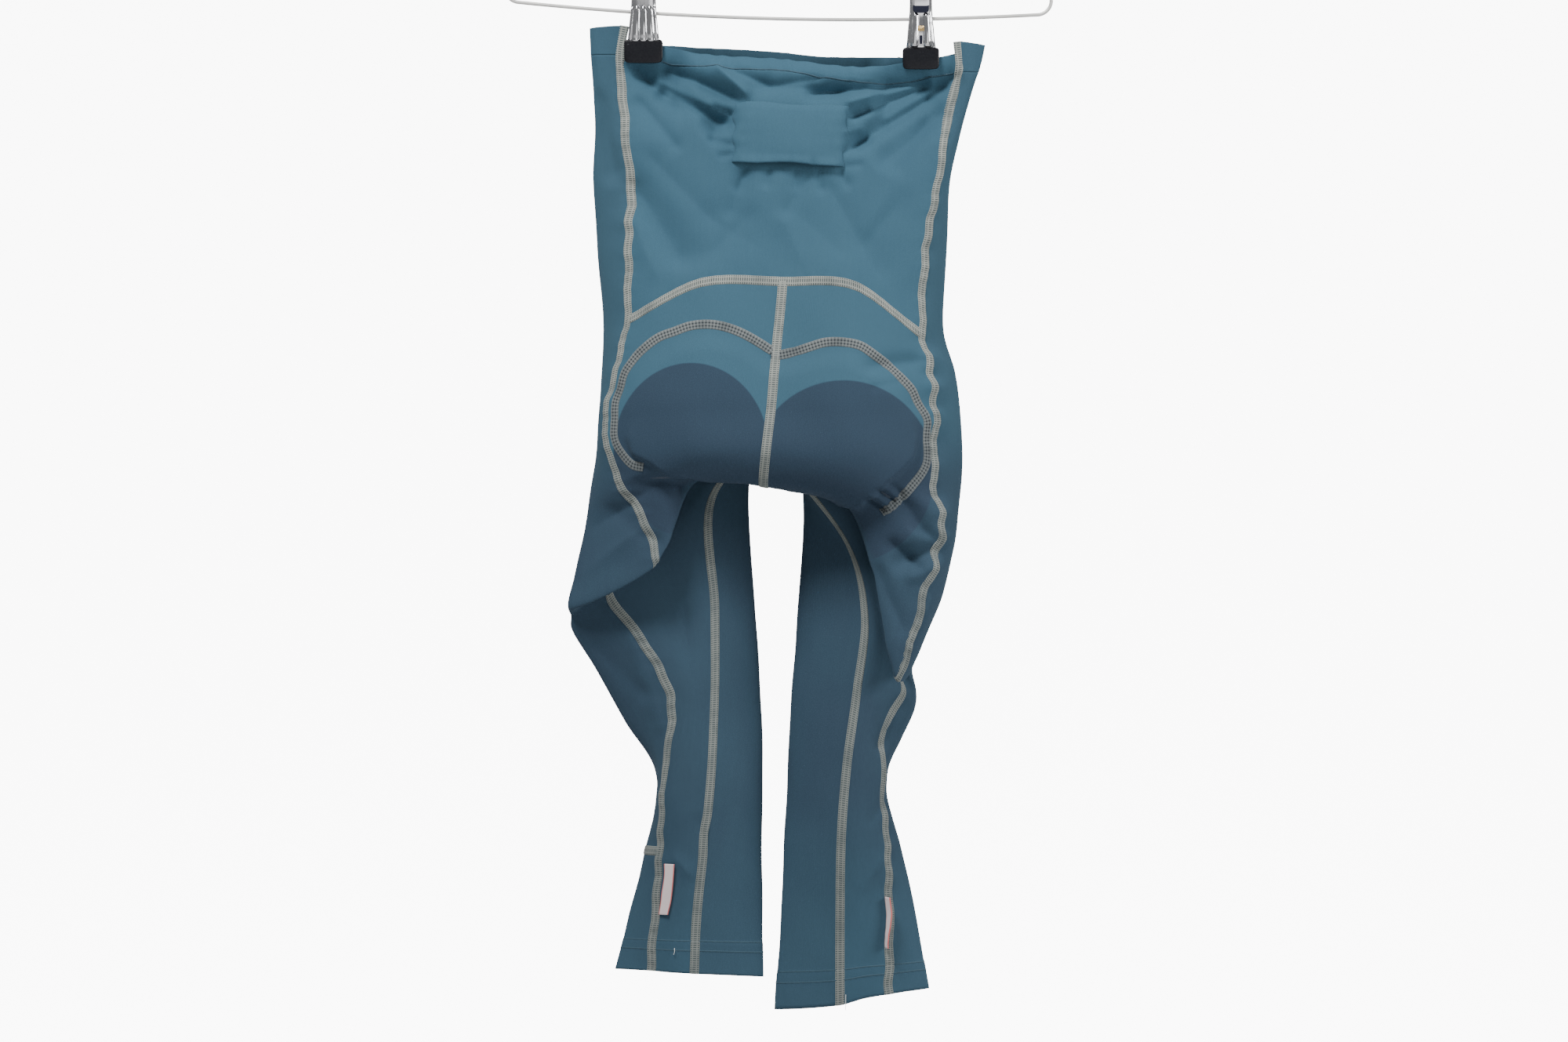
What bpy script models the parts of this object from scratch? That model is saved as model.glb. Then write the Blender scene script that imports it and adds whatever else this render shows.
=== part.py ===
"""Cycling tights hung by the waist from a wire hanger with two clips.

Metres, +Z up. The back of the tights faces -Y and the hanger lies in the plane Y = 0. The origin is the
point inside the top of the hook where the hanger is held. In the tables a place is (across, depth, drop) in
millimetres: across grows to +X, depth to +Y (the front of the tights), and drop downwards from the bar.

The cloth is one surface with two directions. U runs round each half, with a whole number at each of its eight
lines: 0 centre back or inner leg seam, 1 middle of the back, 2 side seam, 3 outermost fold of the side,
4 and 5 front, 6 inner edge, 7 centre front or inner leg seam. It is negative on the left half. V runs down
from the waist, with a whole number at each section of the tables. Every panel is a part of this surface with
a wall behind it.
"""

import math
from collections import namedtuple

import bmesh
import bpy
import numpy as np

MM = 0.001

# Driving sizes of the cloth, in millimetres.
WALL = 1.0
HEM_WALL = 1.7
SEAM_GAP = 0.3
CROTCH_CLEARANCE = 1.6
FOLD_CLEARANCE = 1.4
CORNER_RISE = 10.5
PINCHED = 1.9

# Driving sizes of the hanger and its clips, in millimetres.
BAR_DROP = 200.0
BAR_WIDTH = 418.0
BAR_SAG = 8.6
HANGER_TILT = 1.38
WIRE = 2.8
CORNER_RADIUS = 11.0
NECK_DROP = 104.0
HOOK_WIRE = 3.2
HOOK_RADIUS = 22.6
COLLAR_DIAMETER = 9.0
COLLAR_LENGTH = 16.0
CLIP_GAP = 0.3
GRIP_THICK = 2.4
PLATE_THICK = 1.2
SLEEVE_RADIUS = 4.2
SLEEVE_HALF = 9.0

Clip = namedtuple("Clip", "side across drop width grip_height")
CLIPS = (
    Clip("left", -107.5, 34.2, 29.5, 18.5),
    Clip("right", 104.7, 39.0, 28.0, 17.0),
)

Half = namedtuple("Half", "name centre middle seam side inner front")
Centre = namedtuple("Centre", "name back front")

# The centre seams down to the crotch, where the four panels meet.
CENTRE = (
    Centre("waist", (-3, -4, 31), (0, 12, 25)),
    Centre("band", (-3, -12, 40), (0, 13, 37)),
    Centre("pocket", (-2, -17, 76), (0, 17, 70)),
    Centre("loin", (-2, -23, 122), (0, 22, 108)),
    Centre("hip", (-1, -30, 166), (0, 26, 148)),
    Centre("yoke", (-1, -38, 202), (-1, 29, 182)),
    Centre("pad top", (-6, -47, 256), (-3, 31, 218)),
    Centre("pad middle", (-9, -53, 295), (-6, 33, 248)),
    Centre("pad low", (-13, -54, 331), (-10, 34, 274)),
    Centre("pad edge", (-15, -45, 349), (-13, 33, 287)),
    Centre("flap", (-15, -32, 355), (-15, 31, 299)),
    Centre("flap edge", (-15, -14, 350), (-15, 23, 311)),
    Centre("crotch", (-15, 6, 322), (-15, 6, 322)),
)
CROTCH = len(CENTRE) - 1

# Each half from the waist to the hem. The centre column is the inner leg seam, so it starts below the crotch.
LEFT = (
    Half("waist", None, (-63, -4, 27), (-122, -3, 16), (-149, 0, 18), (-28, 11, 23), 9),
    Half("band", None, (-63, -11, 37), (-126, -5, 28), (-148, 1, 28), (-28, 13, 35), 12),
    Half("pocket", None, (-63, -16, 76), (-123, -9, 76), (-145, 3, 76), (-29, 17, 70), 17),
    Half("loin", None, (-62, -23, 122), (-119, -16, 122), (-146, 5, 122), (-29, 22, 108), 22),
    Half("hip", None, (-62, -31, 166), (-119, -22, 176), (-143, 5, 175), (-29, 26, 148), 27),
    Half("yoke", None, (-63, -41, 203), (-120, -28, 232), (-138, 4, 236), (-30, 29, 182), 30),
    Half("pad top", None, (-69, -53, 259), (-128, -31, 268), (-140, 3, 278), (-31, 31, 218), 33),
    Half("pad middle", None, (-73, -60, 298), (-137, -30, 308), (-140, 2, 313), (-32, 33, 248), 34),
    Half("pad low", None, (-72, -58, 334), (-127, -33, 353), (-148, 1, 361), (-31, 33, 275), 35),
    Half("pad edge", None, (-70, -46, 349), (-110, -36, 379), (-154, -2, 398), (-30, 33, 290), 35),
    Half("flap", None, (-67, -35, 353), (-100, -38, 400), (-160, -6, 426), (-28, 32, 303), 35),
    Half("flap edge", None, (-66, -24, 354), (-97, -39, 417), (-165, -9, 450), (-27, 28, 317), 34),
    Half("crotch", None, (-62, -8, 338), (-116, -21, 407), (-163, -1, 457), (-26, 22, 334), 33),
    Half("thigh", (-55, -4, 366), (-94, -10, 404), (-133, -11, 440), (-163, 3, 466), (-27, 13, 374), 32),
    Half("low thigh", (-53, -8, 451), (-80, -13, 463), (-107, -13, 476), (-146, 4, 495), (-22, 10, 454), 33),
    Half("knee", (-53, -16, 514), (-68, -21, 517), (-85, -18, 521), (-122, 6, 538), (-18, 8, 514), 34),
    Half("below knee", (-56, -24, 580), (-74, -27, 580), (-92, -22, 580), (-97.5, 4, 580), (-16, 6, 580), 35),
    Half("calf", (-62, -22, 640), (-78, -24, 640), (-95, -17, 640), (-107, 3, 640), (-17, 3, 640), 27),
    Half("low calf", (-67, -17, 686), (-82, -18, 686), (-98, -12, 686), (-119, 2, 686), (-16.5, 2, 687), 20),
    Half("hem", (-69, -12, 730), (-85, -13, 729), (-101, -9, 728), (-129, 1, 727), (-16, 1, 733), 13),
)
RIGHT = (
    Half("waist", None, (63, -4, 37), (133, -3, 28), (154, 0, 31), (27, 11, 28), 9),
    Half("band", None, (64, -11, 47), (135, -5, 41), (149, 1, 41), (28, 13, 39), 12),
    Half("pocket", None, (61, -16, 77), (127, -9, 76), (138, 3, 77), (29, 17, 71), 17),
    Half("loin", None, (58, -23, 123), (119, -16, 123), (127, 4, 123), (29, 22, 108), 22),
    Half("hip", None, (55, -31, 167), (109, -22, 176), (125, 4, 176), (28, 26, 148), 27),
    Half("yoke", None, (53, -41, 205), (106, -28, 243), (122, 4, 238), (28, 29, 182), 30),
    Half("pad top", None, (53, -53, 263), (113, -31, 273), (131, 3, 271), (27, 31, 218), 33),
    Half("pad middle", None, (54, -60, 304), (116, -31, 314), (136, 2, 314), (25, 33, 248), 34),
    Half("pad low", None, (54, -58, 344), (114, -33, 353), (136, 1, 353), (22, 33, 275), 35),
    Half("pad edge", None, (53, -46, 365), (122, -35, 394), (131, -2, 394), (19, 33, 290), 35),
    Half("flap", None, (49, -35, 370), (106, -37, 443), (121, -8, 440), (17, 32, 303), 35),
    Half("flap edge", None, (46, -24, 370), (87, -36, 506), (99, -14, 492), (14, 28, 318), 34),
    Half("crotch", None, (50, -8, 336), (85, -23, 485), (98, -4, 501), (13, 22, 336), 33),
    Half("thigh", (50, -6, 405), (68, -10, 424), (87, -12, 492), (101, 1, 512), (15, 13, 384), 32),
    Half("low thigh", (62, -12, 457), (77, -13, 487), (91, -9, 516), (101, 5, 526), (10, 10, 457), 33),
    Half("knee", (56, -18, 514), (68, -18, 530), (77, -12, 543), (90, 6, 551), (6, 8, 514), 34),
    Half("below knee", (48, -23, 572), (62, -24, 578), (76, -15, 582), (77.5, 5, 583), (3, 6, 572), 35),
    Half("calf", (44, -23, 625), (61, -24, 629), (79, -15, 633), (90, 4, 634), (0, 4, 625), 29),
    Half("low calf", (43, -18, 680), (62, -19, 682), (80, -12, 684), (101, 2, 685), (-2, 2, 680), 21),
    Half("hem", (43, -12, 754), (61, -12, 749), (79, -9, 746), (111, 1, 742), (-7, 1, 758), 13),
)

# How far round the front the two front lines lie, from the side to the inner edge.
FRONT_SHARES = (0.28, 0.72)
FRONT_LINES = (4, 5)
# Between these sections the back folds over itself and the front hangs straight, in even steps.
STRAIGHT_FRONT = (8, 13)
# The stretch above the crotch over which the cloth turns from one tube into two.
PARTING = (11.2, 12.0)


def stations(half):
    """The eight lines of one half at every section, in metres: (section, line, 3)."""
    table = []
    for k, row in enumerate(half):
        first, last = (CENTRE[k].back, CENTRE[k].front) if k <= CROTCH else (row.centre, row.centre)
        side, inner = np.array(row.side, float), np.array(row.inner, float)
        fronts = []
        for share in FRONT_SHARES:
            place = side + share * (inner - side)
            place[1] = row.front
            fronts.append(tuple(place))
        table.append([first, row.middle, row.seam, row.side, *fronts, row.inner, last])
    places = np.array(table, float) * MM
    places[..., 2] = -BAR_DROP * MM - places[..., 2]
    first, last = STRAIGHT_FRONT
    count = last - first + 1
    for line in FRONT_LINES:
        places[first : last + 1, line] = np.linspace(places[first, line], places[last, line], count)
    return places


def slopes(places, corner=None):
    """Step lengths and the tangents at both ends of each step, for a smooth curve through places[0], [1] ...

    The parameter grows by the square root of the distance, which keeps the curve from swinging out. At the
    corner the two sides each keep their own direction.
    """
    step = np.sqrt(np.linalg.norm(np.diff(places, axis=0), axis=-1, keepdims=True)) + 1e-6
    rate = np.diff(places, axis=0) / step
    middle = (rate[:-1] * step[1:] + rate[1:] * step[:-1]) / (step[:-1] + step[1:])
    tangent = np.concatenate([rate[:1], middle, rate[-1:]])
    start, end = tangent[:-1].copy(), tangent[1:].copy()
    if corner is not None:
        index, lines = corner
        start[index][lines] = rate[index][lines]
        end[index - 1][lines] = rate[index - 1][lines]
    return step, start, end


def hermite(first, last, start, end, step, share):
    """The point at a share of the way along each step of a smooth curve."""
    square, cube = share**2, share**3
    return (
        (2 * cube - 3 * square + 1) * first
        + (cube - 2 * square + share) * step * start
        + (3 * square - 2 * cube) * last
        + (cube - square) * step * end
    )


LINES = 8
# The first line of a half: just off 0, so that its sign tells the half.
NEAR_ZERO = 1e-6
TABLES = {-1: stations(LEFT), 1: stations(RIGHT)}
SLOPES = {sign: slopes(places, (CROTCH, [0, LINES - 1])) for sign, places in TABLES.items()}
LAST = len(LEFT) - 1


def down(sign, v):
    """The eight lines of a half at each v: (..., line, 3)."""
    places, (step, start, end) = TABLES[sign], SLOPES[sign]
    k = np.clip(np.floor(v).astype(int), 0, LAST - 1)
    share = (v - k)[..., None, None]
    return hermite(places[k], places[k + 1], start[k], end[k], step[k], share)


def half_surface(sign, u, v):
    """Points of one half at u from 0 to 7 and v from 0 to LAST, before folds."""
    own, other = down(sign, v), down(-sign, v)
    parted = smooth(*PARTING, v)[..., None]
    before = parted * own[..., LINES - 2, :] + (1 - parted) * other[..., 1, :]
    after = parted * own[..., 1, :] + (1 - parted) * other[..., LINES - 2, :]
    line = np.concatenate([before[..., None, :], own, after[..., None, :]], axis=-2)
    line = np.moveaxis(line, -2, 0)
    step, start, end = slopes(line)
    k = np.clip(np.floor(u).astype(int), 0, LINES - 2)
    share = (u - k)[..., None]
    pick = np.indices(u.shape)

    def at(values, index):
        return values[(index, *pick)]

    return hermite(at(line, k + 1), at(line, k + 2), at(start, k + 1), at(end, k + 1), at(step, k + 1), share)


def smooth(low, high, value):
    """0 below low, 1 above high, and an even slope between."""
    share = np.clip((value - low) / (high - low), 0, 1)
    return share * share * (3 - 2 * share)


def bare(u, v):
    """Points of the cloth at u from -7 to 7, with both halves in one call."""
    left, right = half_surface(-1, np.abs(u), v), half_surface(1, np.abs(u), v)
    return np.where((u < 0)[..., None], left, right)


def plain_normal(surface, u, v):
    """Outward directions of a surface, from its slopes along u and v, without a length of 1."""
    small = 0.1
    sign = np.where(u < 0, -1, 1)
    size = np.abs(u)
    lower, upper = np.clip(size - small, NEAR_ZERO, LINES - 1), np.clip(size + small, 0, LINES - 1)
    above, below = np.clip(v - small, 0, LAST), np.clip(v + small, 0, LAST)
    round_it = surface(sign * upper, v) - surface(sign * lower, v)
    down_it = surface(u, below) - surface(u, above)
    normal = np.cross(down_it, round_it) * sign[..., None]
    return normal / (np.linalg.norm(normal, axis=-1, keepdims=True) + 1e-12)


def facing(surface, u, v):
    """Outward directions of length 1. In a crease each lies between the directions above and below it."""
    apart = 0.12
    above = plain_normal(surface, u, np.clip(v - apart, 0, LAST))
    both = above + plain_normal(surface, u, np.clip(v + apart, 0, LAST))
    return both / (np.linalg.norm(both, axis=-1, keepdims=True) + 1e-12)


Fold = namedtuple("Fold", "rows start end width height")
# Soft troughs and ridges: the sections between which a fold lies, its ends (across, drop), and its size.
FOLDS = (
    Fold((0, 3), (-117, 36), (-42, 84), 9, -4.0),
    Fold((0, 3), (-92, 36), (-34, 62), 7, -3.2),
    Fold((0, 3), (-54, 36), (-28, 60), 8, 2.6),
    Fold((0, 3), (104, 45), (18, 57), 8, -3.2),
    Fold((0, 3), (126, 43), (50, 95), 10, -4.4),
    Fold((1, 4), (122, 66), (72, 106), 10, -2.6),
    Fold((1, 5), (-117, 124), (-72, 190), 15, -3.0),
    Fold((1, 4), (-145, 58), (-131, 124), 8, -2.6),
    Fold((1, 4), (-40, 72), (-58, 88), 7, -2.4),
    Fold((5, 8), (104, 262), (62, 268), 7, -2.2),
    Fold((8, 11), (86, 362), (112, 398), 8, -3.5),
    Fold((8, 11), (122, 402), (84, 418), 8, -4.5),
)


def fold_height(points, v):
    """How far the folds lift or sink the cloth: a bell across each fold that fades at its two ends."""
    height = np.zeros(v.shape)
    across, drop = points[..., 0] / MM, -BAR_DROP - points[..., 2] / MM
    for fold in FOLDS:
        run = np.subtract(fold.end, fold.start)
        length = np.hypot(*run)
        along = ((across - fold.start[0]) * run[0] + (drop - fold.start[1]) * run[1]) / length
        off = ((drop - fold.start[1]) * run[0] - (across - fold.start[0]) * run[1]) / length
        reach = smooth(-fold.width, fold.width, along) * smooth(-fold.width, fold.width, length - along)
        first, last = fold.rows
        inside = smooth(first, first + 0.7, v) * smooth(-last, 0.7 - last, -v)
        height += inside * fold.height * reach * np.exp(-((off / fold.width) ** 2))
    return height * MM


def cloth(u, v):
    """Points of the cloth's outer face, with the pinch at the clips, the raised corners and the folds."""
    points = bare(u, v)
    back = np.abs(u) < 3
    seen = 1 - smooth(2.3, 3.0, np.abs(u))
    points = points + facing(bare, u, v) * (fold_height(points, v) * seen)[..., None]
    drop = -BAR_DROP - points[..., 2] / MM
    for clip in CLIPS:
        near = 1 - smooth(clip.width / 2 + 11, clip.width / 2 + 27, np.abs(points[..., 0] / MM - clip.across))
        grip = near * (1 - smooth(clip.drop + 9, clip.drop + 62, drop)) * (v < 3)
        flat = np.where(back, -PINCHED, PINCHED) * MM
        points[..., 1] = points[..., 1] * (1 - grip) + flat * grip
    corner = smooth(1.98, 2.0, np.abs(u)) * (1 - smooth(3.1, 4.2, np.abs(u)))
    points[..., 2] += CORNER_RISE * MM * corner * np.clip(1 - v, 0, 1)
    return points


def material(name, colour, roughness, metallic=0.0):
    """A plain finish."""
    made = bpy.data.materials.new(name)
    made.use_nodes = True
    shader = made.node_tree.nodes["Principled BSDF"]
    shader.inputs["Base Color"].default_value = (*colour, 1)
    shader.inputs["Roughness"].default_value = roughness
    shader.inputs["Metallic"].default_value = metallic
    return made


def add(name, points, faces, finish):
    """A closed body from points and faces, with its faces turned outwards."""
    mesh = bpy.data.meshes.new(name)
    mesh.from_pydata([tuple(p) for p in points], [], faces)
    shape = bmesh.new()
    shape.from_mesh(mesh)
    bmesh.ops.recalc_face_normals(shape, faces=shape.faces)
    shape.to_mesh(mesh)
    shape.free()
    mesh.shade_smooth()
    mesh.set_sharp_from_angle(angle=math.radians(50))
    mesh.materials.append(finish)
    made = bpy.data.objects.new(name, mesh)
    bpy.context.scene.collection.objects.link(made)
    return made


def wall_faces(outer_points, inner_points):
    """Triangles of a slab between two grids of points, both split along the same, shorter diagonals."""
    rows, columns = outer_points.shape[:2]
    outer = np.arange(rows * columns).reshape(rows, columns)
    corners = [outer[:-1, :-1], outer[:-1, 1:], outer[1:, 1:], outer[1:, :-1]]
    corners = np.stack(corners, axis=-1).reshape(-1, 4)
    places = (outer_points + inner_points).reshape(-1, 3)[corners]
    falling = np.linalg.norm(places[:, 0] - places[:, 2], axis=-1)
    rising = np.linalg.norm(places[:, 1] - places[:, 3], axis=-1)
    first = np.where((falling < rising)[:, None], corners[:, [0, 1, 2]], corners[:, [0, 1, 3]])
    second = np.where((falling < rising)[:, None], corners[:, [0, 2, 3]], corners[:, [1, 2, 3]])
    faces = np.concatenate([first, second])
    inner = faces[:, ::-1] + rows * columns
    ring = np.array([*outer[0, :], *outer[1:, -1], *outer[-1, -2::-1], *outer[-2:0:-1, 0]])
    following = np.roll(ring, -1)
    low, following_low = ring + rows * columns, following + rows * columns
    rim = np.concatenate([np.stack([following, ring, low], 1), np.stack([following, low, following_low], 1)])
    return np.concatenate([faces, inner, rim]).tolist()


def add_wall(name, outer, inner, finish):
    """A slab between two grids of points."""
    points = np.concatenate([outer.reshape(-1, 3), inner.reshape(-1, 3)])
    return add(name, points, wall_faces(outer, inner), finish)


def pull_in(points, u, v, edges):
    """The outer face, with its seam edges drawn back by half a gap, or more at the crotch and in the folds."""
    centre = np.minimum(np.abs(u), LINES - 1 - np.abs(u)) < 0.01
    middle = np.where(centre, CROTCH, CROTCH + 0.6)
    reach = np.where(centre, 0.7, 1.2)
    clearance = np.where(centre, CROTCH_CLEARANCE, FOLD_CLEARANCE)
    gap = (SEAM_GAP / 2 + (clearance - SEAM_GAP / 2) * np.exp(-(((v - middle) / reach) ** 2))) * MM

    def step(edge, inside):
        away = inside - edge
        return away / (np.linalg.norm(away, axis=-1, keepdims=True) + 1e-12)

    if "start" in edges:
        points[:, 0] += step(points[:, 0], points[:, 1]) * gap[:, :1]
    if "end" in edges:
        points[:, -1] += step(points[:, -1], points[:, -2]) * gap[:, -1:]
    if "top" in edges:
        points[0] += step(points[0], points[1]) * SEAM_GAP / 2 * MM
    if "bottom" in edges:
        points[-1] += step(points[-1], points[-2]) * SEAM_GAP / 2 * MM
    return points


def thickness(v):
    """The wall, thicker in the hem at the bottom and in the band at the waist."""
    hem = smooth(LAST - 0.55, LAST - 0.45, v)
    return (WALL + (HEM_WALL - WALL) * hem) * MM


def panel(name, u, v, finish, edges=("start", "end", "top", "bottom")):
    """A cloth panel: the outer face at each u and v, and an inner face one wall behind it."""
    u, v = np.broadcast_arrays(u, v)
    u, v = np.array(u, float), np.array(v, float)
    outer = pull_in(cloth(u, v), u, v, edges)
    normal = facing(cloth, u, v)
    inner = outer - normal * thickness(v)[..., None]
    return add_wall(name, outer, inner, finish)


def spread(stops, counts):
    """Values along a run of stops, with a number of steps in each stretch."""
    parts = [np.linspace(a, b, n, endpoint=False) for a, b, n in zip(stops, stops[1:], counts)]
    return np.concatenate([*parts, [stops[-1]]])


def find(across, drop, u, v):
    """The u and v of places given by across and drop, by Newton's steps from a first guess."""
    goal = np.stack([across * MM, -BAR_DROP * MM - drop * MM], axis=-1)
    small = 0.01
    for _ in range(12):
        here = cloth(u, v)[..., [0, 2]]
        by_u = (cloth(u + small, v)[..., [0, 2]] - here) / small
        by_v = (cloth(u, v + small)[..., [0, 2]] - here) / small
        miss = goal - here
        area = by_u[..., 0] * by_v[..., 1] - by_u[..., 1] * by_v[..., 0]
        u = u + np.clip((miss[..., 0] * by_v[..., 1] - miss[..., 1] * by_v[..., 0]) / area, -0.3, 0.3)
        v = v + np.clip((by_u[..., 0] * miss[..., 1] - by_u[..., 1] * miss[..., 0]) / area, -0.3, 0.3)
    return u, v


# The sections that each panel spans, and how many steps it has between them.
ROW_STEPS = (2, 3, 3, 3, 3, 3, 3, 3, 3, 3, 4, 4, 4, 4, 3, 3, 2, 2, 3)
CREASE_ROWS = (CROTCH - 0.16, CROTCH + 0.12)
BAND_BOTTOM = 1
YOKE = 5
CALF_SEAM = 16.93
FRONT_SEAM = 4.5


def rows_between(first, last):
    """Values of v from one whole section to another, with two more rows at the crease above the crotch."""
    rows = spread(list(range(first, last + 1)), ROW_STEPS[first:last])
    extra = [v for v in CREASE_ROWS if first < v < last]
    return np.sort(np.append(rows, extra))[:, None]


def make_cloth(finish):
    """The panels, the waistband, the pocket, the pad and the tabs."""
    back_half = spread([0, 1, 2], (6, 6))
    across_back = np.concatenate([-back_half[::-1], back_half[1:]])
    side_to_centre = spread([2, 3, 4, 5, 6, 7], (3, 3, 4, 3, 2))
    panel("back_panel", across_back, rows_between(BAND_BOTTOM, YOKE), finish["upper"])
    leg_rows = rows_between(YOKE, LAST)
    front_rows = rows_between(BAND_BOTTOM, LAST)
    for sign, name in ((-1, "left"), (1, "right")):
        panel(f"seat_leg_{name}", sign * spread([NEAR_ZERO, 1, 2], (6, 6)), leg_rows, finish["leg"])
    side = np.append(side_to_centre[side_to_centre < FRONT_SEAM - 0.05], FRONT_SEAM)
    inner = np.insert(side_to_centre[side_to_centre > FRONT_SEAM + 0.05], 0, FRONT_SEAM)
    for sign, name in ((-1, "left"), (1, "right")):
        panel(f"front_leg_{name}", sign * inner, front_rows, finish["leg"])
    panel("side_panel_right", side, front_rows, finish["leg"])
    make_left_side(side, front_rows, finish)
    band = rows_between(0, BAND_BOTTOM)
    sewn = ("start", "end", "bottom")
    panel("waistband_back", across_back, band, finish["upper"], sewn)
    round_front = np.concatenate([-side_to_centre, side_to_centre[::-1][1:]])
    panel("waistband_front", round_front, band, finish["upper"], sewn)
    make_pocket(finish)
    make_pad(finish)
    make_tabs(finish)


def make_left_side(columns, rows, finish):
    """The left side panel, cut off at its cross seam, and the calf piece below that seam."""
    flat = rows[:, 0]
    above = np.append(flat[flat < CALF_SEAM - 0.05], CALF_SEAM)
    below = np.insert(flat[flat > CALF_SEAM + 0.05], 0, CALF_SEAM)
    panel("side_panel_left", -columns, above[:, None], finish["leg"])
    panel("calf_side_left", -columns, below[:, None], finish["leg"])


Pocket = namedtuple("Pocket", "left right top bottom tilt lift puff")
POCKET = Pocket(-38.5, 48.5, 65.5, 112.5, 0.04, 0.7, 3.4)


def make_pocket(finish):
    """A patch pocket: a wall that touches the back panel round its edges and stands off it in the middle."""
    columns, rows = np.linspace(POCKET.left, POCKET.right, 11), np.linspace(POCKET.top, POCKET.bottom, 7)
    across, drop = np.meshgrid(columns, rows)
    drop = drop + POCKET.tilt * across
    u, v = find(across, drop, across / 60, 1.6 + (drop - 65) / 46)
    sides = (across - POCKET.left) * (POCKET.right - across) / ((POCKET.right - POCKET.left) / 2) ** 2
    ends = np.linspace(0, 1, 7)[:, None]
    hump = np.sqrt(np.clip(sides, 0, 1)) * np.sqrt(np.clip(4 * ends * (1 - ends), 0, 1))
    base, normal = cloth(u, v), facing(cloth, u, v)
    inner = base + normal * ((POCKET.lift + POCKET.puff * hump) * MM)[..., None]
    outer = inner + normal * WALL * MM
    add_wall("back_pocket", outer, inner, finish["upper"])


PadEdge = namedtuple("PadEdge", "share top bottom")
# The pad's outline on each half: how far out from the centre, and the sections of its top and bottom there.
PAD_EDGE = (
    PadEdge(0.00, 6.05, 10.6),
    PadEdge(0.25, 5.85, 10.2),
    PadEdge(0.50, 5.70, 9.5),
    PadEdge(0.72, 5.85, 8.8),
    PadEdge(0.90, 6.30, 8.3),
    PadEdge(1.00, 6.95, 7.7),
)
PAD_REACH = 1.78
PAD_THICK = 7.0
PAD_GAP = 1.6


def make_pad(finish):
    """The seat pad: one slab of foam behind the seat, on both sides of the centre seam, thin at its edge."""
    half = np.linspace(0, 1, 8)
    share = np.concatenate([-half[::-1], half[1:]])
    edge = np.abs(share)
    top = np.interp(edge, [row.share for row in PAD_EDGE], [row.top for row in PAD_EDGE])
    bottom = np.interp(edge, [row.share for row in PAD_EDGE], [row.bottom for row in PAD_EDGE])
    down_it = np.linspace(0, 1, 13)[:, None]
    v = top + (bottom - top) * down_it
    u = np.broadcast_to(share * PAD_REACH, v.shape)
    base, normal = cloth(u, v), facing(cloth, u, v)
    rim = np.sqrt(np.clip(1 - edge**2, 0, 1)) * np.sqrt(np.clip(4 * down_it * (1 - down_it), 0, 1))
    outer = base - normal * (WALL + PAD_GAP) * MM
    inner = outer - normal * ((2 + (PAD_THICK - 2) * rim) * MM)[..., None]
    add_wall("seat_pad", outer, inner, finish["pad"])


Tab = namedtuple("Tab", "name across drop length width stand")
TABS = (
    Tab("tab_left", -88.5, 645.5, 39.0, 8.0, 0.0),
    Tab("tab_right", 80.0, 671.0, 39.0, 7.0, 1.0),
)
TAB_THICK = 0.8


def make_tabs(finish):
    """Two folded ribbon tabs at the side seams: the left lies on the leg, the right stands out from it."""
    for tab in TABS:
        down_it = np.linspace(0, tab.length, 6)
        sign = -1 if tab.across < 0 else 1
        side = np.array([-0.5, 0.5]) * tab.width * (1 - tab.stand)
        across, drop = np.meshgrid(tab.across + side, tab.drop + down_it)
        u, v = find(across, drop, np.full(across.shape, 1.6 * sign), 17 + (drop - 640) / 48)
        base, normal = cloth(u, v), facing(cloth, u, v)
        root = base + normal * (SEAM_GAP + 0.2) * MM
        away = normal
        if tab.stand:
            root[:, 1] = root[:, 0] + normal[:, 0] * tab.width * MM
            away = np.broadcast_to(np.array([-1.0, 0.0, 0.0]), normal.shape)
        add_wall(tab.name, root + away * TAB_THICK * MM, root, finish["tab"])


def tilted(across, drop):
    """A place in the hanger's own plane, turned about the hook by the hanger's tilt, in metres."""
    turn = math.radians(HANGER_TILT)
    x, z = across * MM, -drop * MM
    return (x * math.cos(turn) + z * math.sin(turn), 0.0, z * math.cos(turn) - x * math.sin(turn))


def arc(centre, radius, first, last, steps):
    """Places along an arc, in the hanger's plane, with angles in degrees from +X towards +Z."""
    angles = np.radians(np.linspace(first, last, steps + 1))
    return [(centre[0] + radius * math.cos(a), centre[1] - radius * math.sin(a)) for a in angles]


def wire(name, places, diameter, finish, sides=8):
    """A round wire through places of the hanger's plane."""
    curve = bpy.data.curves.new(name, "CURVE")
    curve.dimensions = "3D"
    curve.bevel_depth = diameter / 2 * MM
    curve.bevel_resolution = sides // 4
    curve.use_fill_caps = True
    spline = curve.splines.new("POLY")
    spline.points.add(len(places) - 1)
    for point, place in zip(spline.points, places):
        point.co = (*tilted(*place), 1)
    curve.materials.append(finish)
    made = bpy.data.objects.new(name, curve)
    bpy.context.scene.collection.objects.link(made)
    return made


def bar_drop(across):
    """How low the bar lies at a place across it: a shallow bow, lowest in its middle."""
    return BAR_DROP - BAR_SAG * (across / (BAR_WIDTH / 2)) ** 2


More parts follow.
